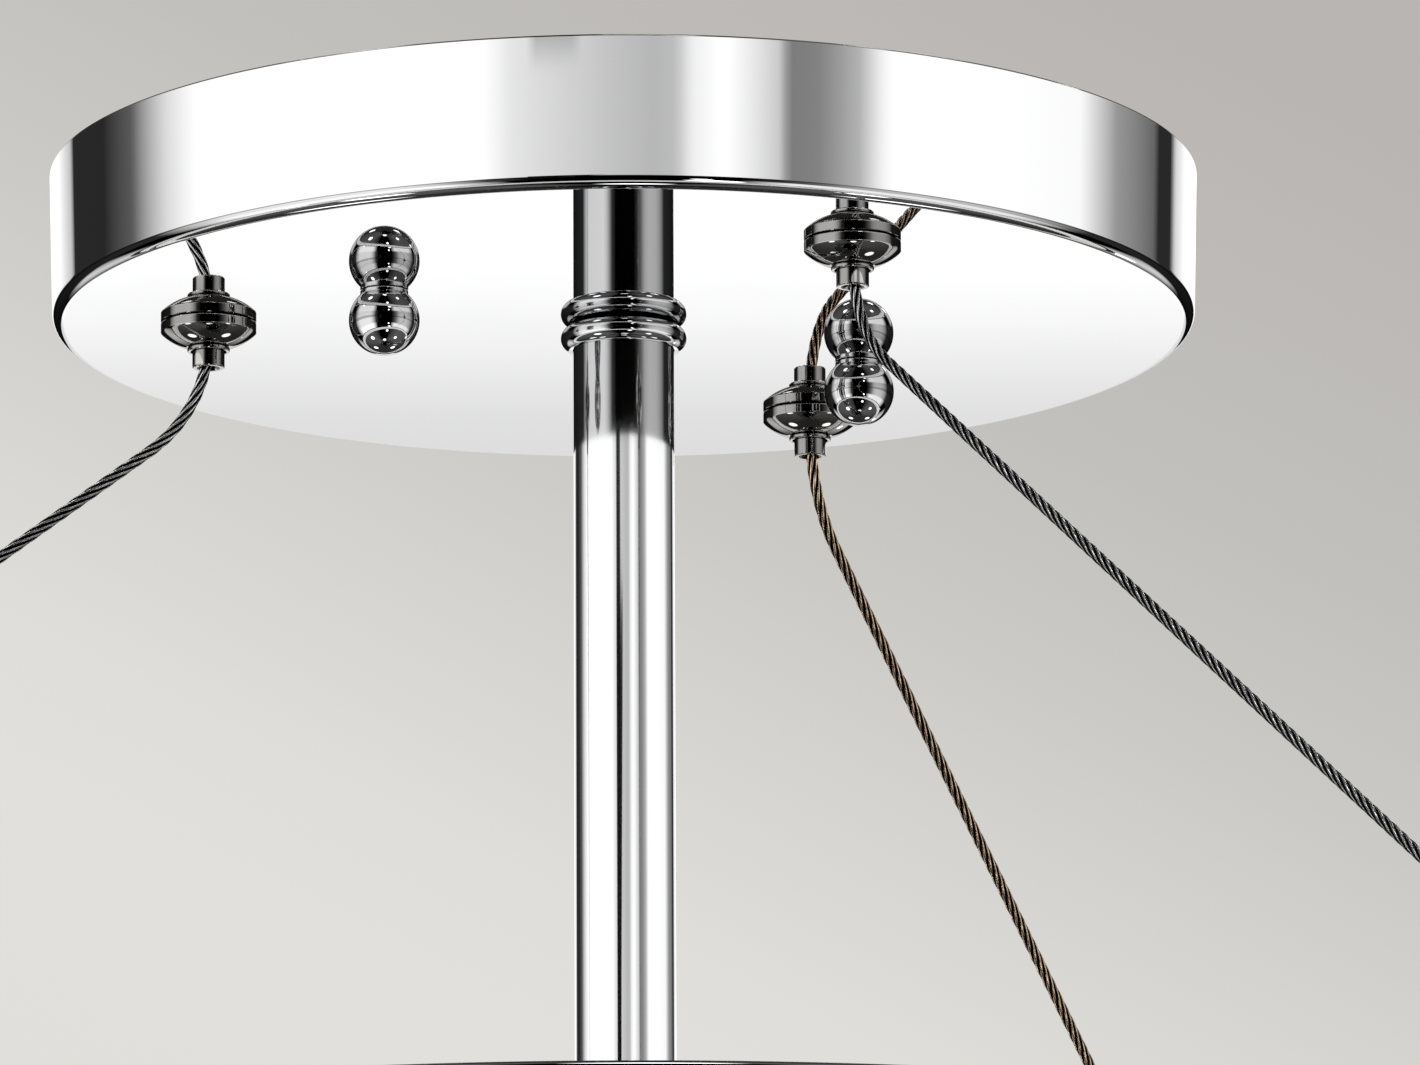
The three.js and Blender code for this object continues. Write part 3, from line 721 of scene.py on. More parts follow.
@dataclass
class BallNuts:
    """The two ball nuts that hold the canopy up."""

    layout: Layout
    radius: float = 5.45 * MM
    neck: float = 3.7 * MM
    drop: float = 4.7 * MM
    bore_depth: float = 7 * MM
    gap: float = 0.06 * MM
    edge: float = 0.2 * MM

    def outline(self) -> Outline:
        """Outline from the ball's lowest point to the end of its blind bore."""
        rise = math.degrees(math.acos(self.neck / self.radius))
        return [
            *arc(0, -self.drop, self.radius, -90, rise, 40),
            (self.neck, -self.gap, self.edge),
            (STUD_HOLE, -self.gap),
            (STUD_HOLE, -self.bore_depth),
            (0, -self.bore_depth),
        ]

    def build(self) -> None:
        """Make both nuts."""
        for side, (x, y) in self.layout.balls().items():
            node = f"ball_nut_{side.value}"
            settle(lathe(f"ball_{side.value}", self.outline(), (x, y, SEAT_Z)), MIRROR_CHROME, node, node)


@dataclass
class DownTube:
    """The polished tube and the bead round its top."""

    radius: float = 7.8 * MM
    wall: float = 1 * MM
    edge: float = 0.2 * MM
    collar_radius: float = 9.75 * MM
    collar_height: float = 3.7 * MM
    collar_bore: float = 7.9 * MM

    def build(self) -> None:
        """Make the tube and its rounded collar."""
        outline = section(self.radius - self.wall, self.radius, *heights("down_tube"), self.edge)
        settle(revolve("tube", outline, segments=128), TUBE_CHROME, "down_tube")
        low, high = heights("tube_collar")
        half = self.collar_height / 2
        flat = self.collar_radius - half
        bead = arc(flat, high - half, half, -90, 90, 24)[1:-1]
        outline = [(self.collar_bore, high), (self.collar_bore, low), (flat, low), *bead, (flat, high)]
        settle(revolve("collar", outline, segments=128), MIRROR_CHROME, "tube_collar")


@dataclass
class CableGrip:
    """One cable grip: flange with dome, ring, release plunger, spring, nut and cap."""

    index: int
    place: Point
    flange: float = 7.4 * MM
    rim: float = 1.6 * MM
    dome: float = 2.2 * MM
    bulge: float = 0.3 * MM
    dome_steps: int = 16
    nose: float = 3.2 * MM
    shoulder: Point = (0.1, 0.4)
    shoulder_start: float = -40
    edge: float = 0.22 * MM
    gap: float = 0.1 * MM
    barrel: float = 4.6 * MM
    barrel_bore: float = 3.4 * MM
    barrel_reach: float = 13 * MM
    thread_start: float = 1.4 * MM
    pitch: float = 0.8 * MM
    nut_flats: float = 13 * MM
    nut_bore: float = 4.9 * MM
    cap_bore: float = 1.3 * MM
    stem_bore: float = 2.8 * MM
    ring: float = 3.3 * MM
    ring_height: float = 0.6 * MM
    plunger: float = 2.5 * MM
    plunger_reach: float = 7.2 * MM
    plunger_bore: float = 1.3 * MM
    mouth_flare: float = 0.5 * MM
    mouth_depth: float = 2.2 * MM
    head: float = 3 * MM
    head_base: float = 1 * MM
    head_height: float = 1.2 * MM
    coil: float = 2.15 * MM
    wire: float = 0.3 * MM
    coil_turns: int = 4
    turn_steps: int = 28
    wire_sides: int = 10

    def dome_curve(self, foot: float) -> list[Point]:
        """Slightly bulging line of the dome, from its nose up to the flange's foot."""
        start = Vector((self.nose, foot - self.dome))
        back, up = self.shoulder
        chord = Vector((self.flange - self.edge * back, foot + self.edge * up)) - start
        outward = Vector((chord.y, -chord.x)).normalized()
        shares = [i / self.dome_steps for i in range(self.dome_steps)]
        return [tuple(start + chord * t + outward * (4 * self.bulge * t * (1 - t))) for t in shares]

    def flange_outline(self) -> Outline:
        """Outline of flange, dome and barrel."""
        foot = -self.gap - self.rim
        return [
            (self.stem_bore, foot - self.dome),
            *self.dome_curve(foot),
            *arc(self.flange - self.edge, foot + self.edge, self.edge, self.shoulder_start, 0, CORNER_STEPS),
            (self.flange, -self.gap, self.edge),
            (self.barrel, -self.gap),
            (self.barrel, self.thread_start),
            *thread(self.barrel, self.thread_start, self.barrel_reach - self.edge, self.pitch),
            (self.barrel - self.edge, self.barrel_reach),
            (self.barrel_bore, self.barrel_reach),
            (self.barrel_bore, self.head_base - self.gap),
            (self.stem_bore, self.head_base - self.gap),
        ]

    def plunger_outline(self) -> Outline:
        """Outline of the plunger, with its flared mouth."""
        lip, top = -self.plunger_reach, self.head_base + self.head_height
        return [
            (self.plunger_bore, lip + self.mouth_depth),
            (self.plunger_bore + self.mouth_flare, lip),
            (self.plunger, lip, self.edge),
            (self.plunger, self.head_base),
            (self.head, self.head_base),
            (self.head, top),
            (self.plunger_bore, top),
        ]

    def ring_outline(self) -> Outline:
        """Outline of the small ring under the dome."""
        top = -2 * self.gap - self.rim - self.dome
        return section(self.stem_bore, self.ring, top - self.ring_height, top, self.edge)

    def cap_outline(self) -> Outline:
        """Outline of the cap, from the lower end of its bore."""
        low, high = heights(f"grip_cap_{self.index}")
        return [
            (self.cap_bore, low),
            (self.barrel, low, self.edge),
            (self.barrel, high, 2 * self.edge, 4),
            (self.cap_bore, high, self.edge),
        ]

    def build(self) -> None:
        """Make every piece of the grip."""
        i, seat = self.index, (*self.place, SEAT_Z)
        flange = revolve(f"grip_flange_turned_{i}", self.flange_outline(), seat)
        ring = revolve(f"grip_ring_turned_{i}", self.ring_outline(), seat, 64)
        plunger = revolve(f"plunger_turned_{i}", self.plunger_outline(), seat, 64)
        settle(flange, GRIP_CHROME, f"grip_flange_{i}")
        settle(ring, GRIP_CHROME, f"grip_ring_{i}")
        settle(plunger, GRIP_CHROME, f"grip_plunger_{i}", f"release_{i}")
        hex_nut(f"grip_hex_{i}", f"grip_nut_{i}", self.nut_flats, self.nut_bore, ZINC_PLATE, self.place)
        cap = revolve(f"cap_turned_{i}", self.cap_outline(), (*self.place, 0), 64)
        settle(cap, TURNED_BRASS, f"grip_cap_{i}")
        self.build_spring()

    def build_spring(self) -> None:
        """Wind the spring over the plunger."""
        node = f"grip_spring_{self.index}"
        low, high = heights(node)
        steps = self.coil_turns * self.turn_steps
        rise = high - low - 2 * self.wire
        helix = bmesh.new()
        hoops = []
        for i in range(steps + 1):
            turn = FULL_TURN * i / self.turn_steps
            outward = Vector((math.cos(turn), math.sin(turn), 0))
            centre = outward * self.coil + Vector((*self.place, low + self.wire + rise * i / steps))
            hoops.append(hoop(helix, centre, outward, UP, self.wire, self.wire_sides))
        join_hoops(helix, hoops)
        spring = wound(f"wound_spring_{self.index}", helix)
        dress(spring, ZINC_PLATE)
        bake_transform(spring)
        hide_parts(node)
        LOG.info("piece %s bends between root and release_%d", spring.name, self.index)


@dataclass
class WireRope:
    """One stranded wire rope from its grip to its boss."""

    index: int
    turn: float
    spread: float
    radius: float = 0.9 * MM
    half_width: float = 1 * MM
    tail_top: float = 16.6 * MM
    leave: float = 2.5 * MM
    bend_radius: float = 22.4 * MM
    strands: int = 6
    strand_gain: float = 1.04
    core_fill: float = 0.55
    lay: float = 17.2 * MM
    step: float = 0.7 * MM
    sides: int = 10

    def route(self) -> tuple[Callable[[float], tuple[Vector, Vector]], float]:
        """The rope's line: down out of the grip, round a bend, then straight out to its boss.

        Returns:
            A function from run along the rope to point and direction, and the whole length.
        """
        tilt = math.atan(ROPE_SLOPE)
        out = Vector((math.cos(math.radians(self.turn)), math.sin(math.radians(self.turn)), 0))
        top = SEAT_Z + self.tail_top
        bend_top = SEAT_Z - self.leave
        upper = top - bend_top
        bend = self.bend_radius * tilt

        def turned(angle: float) -> tuple[float, float, Vector]:
            """Distance out, height and direction at an angle round the bend."""
            radius = self.spread + self.bend_radius * (1 - math.cos(angle))
            height = bend_top - self.bend_radius * math.sin(angle)
            return radius, height, out * math.sin(angle) - UP * math.cos(angle)

        start_r, start_z, along = turned(tilt)
        end_z = heights(f"wire_rope_{self.index}")[0] + self.half_width * math.sin(tilt)
        lower = (start_z - end_z) / math.cos(tilt)

        def at(run: float) -> tuple[Vector, Vector]:
            """Point and direction at a run along the rope."""
            if run <= upper:
                return out * self.spread + UP * (top - run), -UP
            if run <= upper + bend:
                radius, height, direction = turned((run - upper) / self.bend_radius)
                return out * radius + UP * height, direction
            left = run - upper - bend
            radius, height = start_r + left * math.sin(tilt), start_z - left * math.cos(tilt)
            return out * radius + UP * height, along

        return at, upper + bend + lower

    def build(self) -> None:
        """Make the strands and the core as one piece."""
        at, length = self.route()
        count = int(length / self.step)
        side = Vector((-math.sin(math.radians(self.turn)), math.cos(math.radians(self.turn)), 0))
        rope = bmesh.new()
        crown = rope.verts.layers.float.new(CROWN)
        strand = self.radius / (1 + 1 / math.sin(math.pi / self.strands)) * self.strand_gain
        offset = self.radius - strand
        lines = [(offset, strand, FULL_TURN * k / self.strands) for k in range(self.strands)]
        lines.append((0.0, offset - self.core_fill * strand, 0.0))
        for reach, thickness, phase in lines:
            hoops = []
            for i in range(count + 1):
                run = length * i / count
                centre, along = at(run)
                twist = phase + FULL_TURN * run / self.lay
                outward = side.cross(along) * math.cos(twist) + side * math.sin(twist)
                middle = centre + outward * reach
                hoops.append(hoop(rope, middle, outward, along.cross(outward), thickness, self.sides))
                for k, vertex in enumerate(hoops[-1]):
                    vertex[crown] = (1 + math.cos(FULL_TURN * k / self.sides)) / 2 if reach else 0.0
            join_hoops(rope, hoops)
        # Painted reflection: rope 1 takes the warm copy of the same steel.
        finish = WARM_REFLECTION_ROPE if self.index == 1 else COOL_ROPE
        settle(wound(f"rope_{self.index}", rope), finish, f"wire_rope_{self.index}")


@dataclass
class LampPan:
    """The shallow polished pan at the tube's foot."""

    sheet: float = 1.2 * MM
    corner: float = 1.4 * MM
    bead: float = 1.6 * MM

    def build(self) -> None:
        """Make the pan."""
        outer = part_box("lamp_pan")[1][0]
        mouth, top = heights("lamp_pan")
        outline = [
            (NIPPLE_HOLE, top),
            (NIPPLE_HOLE, top - self.sheet),
            *arc(outer - self.corner, top - self.corner, self.corner - self.sheet, 90, 0, 8),
            (outer - self.sheet, mouth + 2 * self.bead),
            *arc(outer - self.bead - self.sheet, mouth + self.bead, self.bead, 90, 270, 10),
            (outer, mouth, self.bead, 6),
            (outer, top, self.corner, 12),
        ]
        settle(revolve("pan", outline, segments=256), MIRROR_CHROME, "lamp_pan")


@dataclass
class LampSet:
    """Lampholders and lamps under the pan."""

    layout: Layout
    holder_radius: float = 14 * MM
    holder_flange: float = 19 * MM
    flange_height: float = 3 * MM
    holder_height: float = 30 * MM
    holder_bore: float = 7.2 * MM
    holder_floor: float = 6 * MM
    edge: float = 0.8 * MM
    gap: float = 0.3 * MM
    lamp_radius: float = 22.5 * MM
    cap_radius: float = 6.8 * MM
    neck_radius: float = 11 * MM
    neck_drop: float = 0.2 * MM
    lamp_length: float = 72 * MM
    sheet: float = 1.3 * MM

    def holder_outline(self) -> Outline:
        """Outline of a lampholder, from the floor of its socket to its flange."""
        top = -self.sheet
        falls = self.holder_height, self.holder_floor, self.flange_height
        mouth, floor, foot = (top - fall for fall in falls)
        e = self.edge
        return [
            (0, floor),
            (self.holder_bore, floor),
            (self.holder_bore, mouth, e),
            (self.holder_radius, mouth, e),
            (self.holder_radius, foot, e),
            (self.holder_flange, foot, e),
            (self.holder_flange, top),
            (0, top),
        ]

    def lamp_outline(self) -> Outline:
        """Outline of a lamp from the top of its cap to the foot of its globe."""
        cap_top = -self.sheet - self.holder_floor - self.gap
        neck_z = -self.sheet - self.holder_height - self.gap
        globe_z = cap_top - self.lamp_length + self.lamp_radius
        rise = math.degrees(math.acos(self.neck_radius / self.lamp_radius))
        return [
            (0, cap_top),
            (self.cap_radius - self.edge, cap_top),
            (self.cap_radius, cap_top - self.edge),
            (self.cap_radius, neck_z),
            (self.neck_radius - self.edge, neck_z - self.neck_drop),
            *arc(0, globe_z, self.lamp_radius, rise, -90, 32),
        ]

    def build(self) -> None:
        """Make the lampholders and lamps."""
        top = heights("lamp_pan")[1]
        for i, (x, y) in enumerate(self.layout.holders(), start=1):
            holder = lathe(f"holder_{i}", self.holder_outline(), (x, y, top), 64)
            settle(holder, WHITE_CERAMIC, f"lampholder_{i}")
            lamp = lathe(f"globe_{i}", self.lamp_outline(), (x, y, top), 64)
            settle(lamp, LAMP_GLASS, f"lamp_{i}", f"lamp_{i}_body")


@dataclass
class RimAndDish:
    """The rim ring, the felt strip and the opal dish."""

    ledge_width: float = 8 * MM
    ledge_depth: float = 5 * MM
    ring_width: float = 20 * MM
    ring_edge: float = 2 * MM
    small_edge: float = 0.4 * MM
    glass: float = 4 * MM
    glass_edge: float = 1.2 * MM
    lip: float = 7 * MM
    dish_depth: float = 90 * MM
    clearance: float = 0.3 * MM
    felt_edge: float = 0.35 * MM

    def build_ring(self) -> None:
        """Make the ring with its ledge and rounded outer edges."""
        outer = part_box("rim_ring")[1][0]
        bottom, top = heights("rim_ring")
        ledge_outer = outer - self.ring_width
        ledge_inner, ledge_z = ledge_outer - self.ledge_width, top - self.ledge_depth
        outline = [
            (ledge_inner, ledge_z),
            (ledge_inner, bottom, self.small_edge),
            (outer, bottom, self.ring_edge, 8),
            (outer, top, self.ring_edge, 8),
            (ledge_outer, top, self.small_edge),
            (ledge_outer, ledge_z),
        ]
        settle(revolve("ring", outline, segments=320), MIRROR_CHROME, "rim_ring")

    def build_felt(self) -> None:
        """Make the felt strip that the glass lies on, with its edges rounded."""
        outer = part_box("felt_strip")[1][0]
        inner = outer - self.lip + self.clearance
        outline = section(inner, outer, *heights("felt_strip"), self.felt_edge, self.felt_edge)
        settle(revolve("felt", outline, segments=256), GREY_FELT, "felt_strip")

    def build_dish(self) -> None:
        """Make the glass dish with its flat lip."""
        lip_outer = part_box("glass_dish")[1][0]
        foot, lip_top = heights("glass_dish")
        lip_z = lip_top - self.glass
        mouth = lip_outer + self.clearance - self.ledge_width - 2 * self.clearance
        sphere = (mouth ** 2 + self.dish_depth ** 2) / (2 * self.dish_depth)
        centre_z = foot + sphere
        rim = -math.degrees(math.acos(mouth / sphere))
        inner = sphere - self.glass
        inner_rim = math.degrees(math.asin((lip_top - centre_z) / inner))
        outline = [
            *arc(0, centre_z, sphere, -90, rim, 48),
            (lip_outer, lip_z, self.glass_edge, 4),
            (lip_outer, lip_top, self.glass_edge, 4),
            *arc(0, centre_z, inner, inner_rim, -90, 48),
        ]
        settle(lathe("dish", outline, segments=256), OPAL_GLASS, "glass_dish")

    def build(self) -> None:
        """Make ring, felt and dish."""
        self.build_ring()
        self.build_felt()
        self.build_dish()


@dataclass
class CanopyFixings:
    """Plate, studs, nipples, bushes and nuts that hold the canopy, the tube and the pan."""

    layout: Layout
    half_width: float = 10 * MM
    reach: float = 52 * MM
    fillet: float = 3 * MM
    ease: float = 0.25 * MM
    slot_half: float = 2.75 * MM
    slot_inner: float = 24 * MM
    slot_outer: float = 46 * MM
    screw_station: float = 22 * MM
    block_hole: float = 1.8 * MM
    hole_steps: int = 40
    stud: float = 2 * MM
    stud_pitch: float = 0.7 * MM
    stud_flats: float = 8 * MM
    nipple: float = 4.9 * MM
    nipple_bore: float = 3.6 * MM
    nipple_pitch: float = 1 * MM
    lock_flats: float = 16 * MM
    bush: float = 6.5 * MM

    def cross_outline(self) -> list[Point]:
        """Outline of the crossed plate: four round-ended arms with filleted inner corners."""
        corner = self.half_width + self.fillet
        arm = arc(self.reach - self.half_width, 0, self.half_width, -90, 90, 24)
        arm += arc(corner, corner, self.fillet, 270, 180, 6)
        points: list[Point] = []
        for turn in (0, 90, 180, 270):
            c, s = math.cos(math.radians(turn)), math.sin(math.radians(turn))
            points += [(x * c - y * s, x * s + y * c) for x, y in arm]
        return points

    def slot_outline(self, side: int) -> list[Point]:
        """Outline of one box slot, on the side of plus or minus Y."""
        near, far = self.slot_inner + self.slot_half, self.slot_outer - self.slot_half
        outline = arc(0, far, self.slot_half, 0, 180, 16) + arc(0, near, self.slot_half, 180, 360, 16)
        return [(x, y * side) for x, y in outline]

    def build_plate(self) -> None:
        """Press the plate from its outline, with eased edges round its holes."""
        low, high = heights("mounting_plate")
        holes = [(0.0, 0.0, NIPPLE_HOLE), (-self.screw_station, 0.0, STUD_HOLE),
                 (self.screw_station, 0.0, self.block_hole)]
        holes += [(x, y, STUD_HOLE) for x, y in self.layout.balls().values()]
        last = 360 - 360 / self.hole_steps
        outlines = [self.cross_outline(), self.slot_outline(1), self.slot_outline(-1)]
        outlines += [[(x + px, y + py) for px, py in arc(0, 0, r, 0, last, self.hole_steps - 1)]
                     for x, y, r in holes]
        curve = bpy.data.curves.new("plate_outline", "CURVE")
        curve.dimensions = "2D"
        curve.fill_mode = "BOTH"
        curve.extrude = (high - low) / 2 - self.ease
        curve.bevel_depth = self.ease
        curve.offset = -self.ease
        curve.bevel_resolution = 2
        for outline in outlines:
            spline = curve.splines.new("POLY")
            spline.points.add(len(outline) - 1)
            for point, (x, y) in zip(spline.points, outline):
                point.co = (x, y, 0, 1)
            spline.use_cyclic_u = True
        drawn = linked("plate_outline", curve)
        mesh = bpy.data.meshes.new_from_object(drawn.evaluated_get(bpy.context.evaluated_depsgraph_get()))
        bpy.data.objects.remove(drawn)
        mesh.transform(Matrix.Translation((0, 0, (low + high) / 2)))
        mesh.name = "cross_plate"
        settle(linked("cross_plate", smooth(mesh)), ZINC_PLATE, "mounting_plate")

    def threaded(self, name: str, node: str, radius: float, bore: float, pitch: float, finish: Finish,
                 at: Point = (0.0, 0.0)) -> None:
        """Make a threaded rod, or a threaded nipple where it has a bore.

        Args:
            name: Name of the piece.
            node: The node that it stands for.
            radius: Radius over the thread.
            bore: Radius of its bore, or zero.
            pitch: Pitch of the thread.
            finish: Its finish.
            at: Its axis.
        """
        low, high = heights(node)
        chamfer = THREAD_DEPTH_SHARE * pitch
        outline = [(bore, low), (radius - chamfer, low), (radius, low + chamfer),
                   *thread(radius, low + chamfer, high - chamfer, pitch),
                   (radius, high - chamfer), (radius - chamfer, high), (bore, high)]
        settle(revolve(name, outline, (*at, 0), 48, closed=bore > 0), finish, node)

    def build(self) -> None:
        """Make plate, studs, nipples, bushes and nuts."""
        self.build_plate()
        for side, place in self.layout.balls().items():
            self.threaded(f"stud_{side.value}", f"canopy_stud_{side.value}", self.stud, 0.0, self.stud_pitch,
                          ZINC_PLATE, place)
            hex_nut(f"hex_{side.value}", f"stud_nut_{side.value}", self.stud_flats, STUD_HOLE, ZINC_PLATE,
                    place)
        for name, node in (("nipple_top", "top_nipple"), ("nipple_pan", "pan_nipple")):
            self.threaded(name, node, self.nipple, self.nipple_bore, self.nipple_pitch, TURNED_BRASS)
        for node in ("plate_lock_nut", "canopy_lock_nut", "pan_lock_nut"):
            hex_nut(f"hex_{node}", node, self.lock_flats, NIPPLE_HOLE, TURNED_BRASS)
        for name, node in (("bush_top", "top_bush"), ("bush_low", "low_bush")):
            outline = section(NIPPLE_HOLE, self.bush, *heights(node), self.ease, self.ease)
            settle(revolve(name, outline, segments=64), TURNED_BRASS, node)


@dataclass
class Terminals:
    """Terminal block, its screw and the earth screw under the plate."""

    station: float = 22 * MM
    wire_way: float = 1.8 * MM
    wire_pitch: float = 8 * MM
    ease: float = 0.8 * MM
    slot: float = 0.9 * MM
    edge: float = 0.35 * MM
    pitch: float = 0.6 * MM
    block_screw: tuple[float, float, float] = (1.5 * MM, 2.6 * MM, 1.4 * MM)
    earth_screw: tuple[float, float, float] = (2 * MM, 4 * MM, 2.4 * MM)

    def build_block(self) -> None:
        """Make the block with its two wire ways and screw hole."""
        low, high = (Vector(corner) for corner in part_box("terminal_block"))
        middle = (low + high) / 2
        body = block("connector_block", high - low, middle, self.ease)
        across = (high.x - low.x) / 2 + CUTTER_MARGIN
        cutters = [drill(middle.x, middle.y, self.wire_way, low.z - MM, high.z + MM)]
        for y in (-self.wire_pitch, self.wire_pitch):
            lying = Matrix.Translation((middle.x, y, middle.z)) @ Matrix.Rotation(math.radians(90), 4, "Y")
            cutters.append(placed(drill(0, 0, self.wire_way, -across, across), lying))
        cut_away(body, cutters)
        settle(body, WHITE_NYLON, "terminal_block")

    def build_screw(self, name: str, node: str, x: float, sizes: Sequence[float], finish: Finish) -> None:
        """Make a slotted screw that goes up from its head.

        Args:
            name: Name of the piece.
            node: The node that it stands for.
            x: Its axis.
            sizes: Radius of its shank, and radius and height of its head.
            finish: Its finish.
        """
        shank, head, head_height = sizes
        low, high = heights(node)
        top, e = low + head_height, self.edge
        outline = [(0, low), (head, low, e, 4), (head, top, e / 3),
                   (shank, top), *thread(shank, top, high - e, self.pitch), (shank - e, high), (0, high)]
        turned = lathe(name, outline, (x, 0, 0), 64)
        cut_away(turned, [block("cutter", (2 * head + MM, self.slot, head_height), (x, 0, low))])
        settle(turned, finish, node)

    def build(self) -> None:
        """Make the block and both screws."""
        self.build_block()
        self.build_screw("screw_block", "block_screw", self.station, self.block_screw, ZINC_PLATE)
        self.build_screw("screw_earth", "earth_screw", -self.station, self.earth_screw, TURNED_BRASS)


@dataclass
class RopeAnchor:
    """One boss on the rim ring, with the grub screw that holds its rope."""

    index: int
    turn: float
    radius: float = 4.6 * MM
    length: float = 18 * MM
    edge: float = 0.8 * MM
    bore: float = 1.3 * MM
    bore_ease: float = 0.48 * MM
    bore_floor: float = 8.7 * MM
    cross_bore: float = 1.8 * MM
    station: float = 6 * MM
    grub: float = 1.5 * MM
    grub_low: float = 1.3 * MM
    grub_length: float = 3 * MM
    grub_pitch: float = 0.5 * MM
    grub_chamfer: float = 0.25 * MM
    hex_flats: float = 1.5 * MM
    hex_depth: float = 1.4 * MM
    gap: float = 0.1 * MM
    ring_half: float = 10 * MM

    def lean(self) -> Matrix:
        """Place of the boss, its axis along the rope."""
        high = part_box("rim_ring")[1]
        ring = high[0] - self.ring_half
        out = math.radians(self.turn)
        foot = Vector((ring * math.cos(out), ring * math.sin(out), high[2]))
        tilt = math.atan(ROPE_SLOPE)
        return Matrix.Translation(foot) @ Matrix.Rotation(out, 4, "Z") @ Matrix.Rotation(-tilt, 4, "Y")

    def cross(self) -> Matrix:
        """Place of the screw hole, across the boss."""
        station = Matrix.Translation((0, 0, self.length - self.station))
        return self.lean() @ station @ Matrix.Rotation(math.radians(90), 4, "Y")

    def build_boss(self) -> None:
        """Make the boss, cut flat at the ring's face and drilled."""
        place = self.lean()
        outline = [
            (0, -self.length),
            (self.radius, -self.length),
            (self.radius, self.length, self.edge, 6),
            (self.bore + self.bore_ease, self.length),
            (self.bore, self.length - self.bore_ease),
            (self.bore, self.bore_floor),
            (0, self.bore_floor),
        ]
        boss = placed(lathe(f"anchor_{self.index}", outline), place)
        floor = heights("rim_ring")[1] + self.gap
        buried = 4 * self.length
        under = block("cutter", (buried, buried, buried), (*place.translation.xy, floor - buried / 2))
        hole = placed(drill(0, 0, self.cross_bore, 0, self.radius + CUTTER_MARGIN), self.cross())
        cut_away(boss, [under, hole])
        settle(boss, MIRROR_CHROME, f"rope_boss_{self.index}")

    def build_grub(self) -> None:
        """Make the grub screw with its hexagon socket."""
        radius, chamfer = self.grub, self.grub_chamfer
        low, top = self.grub_low, self.grub_low + self.grub_length

        def column(turn: float) -> list[Point]:
            """Outline of the screw at one angle."""
            socket = hex_reach(turn, self.hex_flats)
            return [(0, low), (radius - chamfer, low), (radius, low + chamfer),
                    *thread(radius, low + chamfer, top - chamfer, self.grub_pitch),
                    (radius, top - chamfer), (radius - chamfer, top), (socket, top),
                    (socket, top - self.hex_depth), (0, top - self.hex_depth)]

        screw = placed(spin(f"grub_{self.index}", column, segments=48, closed=False), self.cross())
        settle(screw, ZINC_PLATE, f"grub_screw_{self.index}")

    def build(self) -> None:
        """Make boss and grub screw."""
        self.build_boss()
        self.build_grub()


@dataclass
class CarriedNodes:
    """CAD nodes inside the grips whose shape is right and that only take a finish."""

    names: tuple[str, ...] = ("grip_jaws_1", "grip_jaws_2", "grip_jaws_3")

    def build(self) -> None:
        """Dress each carried node."""
        for name in self.names:
            dress(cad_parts[name], TURNED_BRASS)
            LOG.info("node %s dressed", name)


# Studio

def bearing_axes(turn: float) -> tuple[Vector, Vector]:
    """Level directions to the right of the camera and away from it, for its turn in degrees."""
    c, s = math.cos(math.radians(turn)), math.sin(math.radians(turn))
    return Vector((c, -s, 0)), Vector((s, c, 0))


def mirrored(half: Sequence[Point]) -> tuple[Point, ...]:
    """Levels at bearings on both sides of the camera, from those on its right."""
    return (*[(-bearing, level) for bearing, level in reversed(half)], *half)


def plain_material(name: str, colour: Colour, roughness: float, specular: float) -> bpy.types.Material:
    """A material for the stage."""
    made = bpy.data.materials.new(name)
    made.use_nodes = True
    shader = made.node_tree.nodes["Principled BSDF"]
    shader.inputs["Base Color"].default_value = (*colour, 1)
    shader.inputs["Roughness"].default_value = roughness
    shader.inputs["Specular IOR Level"].default_value = specular
    return made


@dataclass
class PhotoCamera:
    """A long lens below the canopy, looking up at it."""

    turn: float = PHOTO_TURN
    rise: float = 13.8
    distance: float = 2.67
    pitch: float = 13.115
    swing: float = 0.293
    roll: float = -0.223
    lens: float = 436.8

    def build(self) -> None:
        """Place the camera and make it the scene's."""
        right, away = bearing_axes(self.turn)
        rise, swing, pitch, roll = (math.radians(a) for a in (self.rise, self.swing, self.pitch, self.roll))
        place = Vector((0, 0, SEAT_Z)) - self.distance * (away * math.cos(rise) + UP * math.sin(rise))
        level = right * math.sin(swing) + away * math.cos(swing)
        forward = level * math.cos(pitch) + UP * math.sin(pitch)
        across = forward.cross(UP).normalized()
        upward = across.cross(forward)
        rolled = across * math.cos(roll) + upward * math.sin(roll)
        over = upward * math.cos(roll) - across * math.sin(roll)
        data = bpy.data.cameras.new("photo_camera")
        data.lens = self.lens
        data.sensor_width = 36
        data.clip_end = 60
        camera = linked("photo_camera", data)
        turned = Matrix((rolled, over, -forward)).transposed().to_4x4()
        camera.matrix_world = Matrix.Translation(place) @ turned
        bpy.context.scene.camera = camera


@dataclass(frozen=True)
class Glint:
    """A small bright lamp that polished metal shows as a dot."""

    bearing: float
    rise: float
    radius: float
    level: float = 3.0
    core: float = 0.7


@dataclass(frozen=True)
class SoftLamp:
    """A round soft light, aimed at the object."""

    name: str
    bearing: float
    rise: float
    size: float
    watts: float
    distance: float = 2.6
    aim: float = -0.15


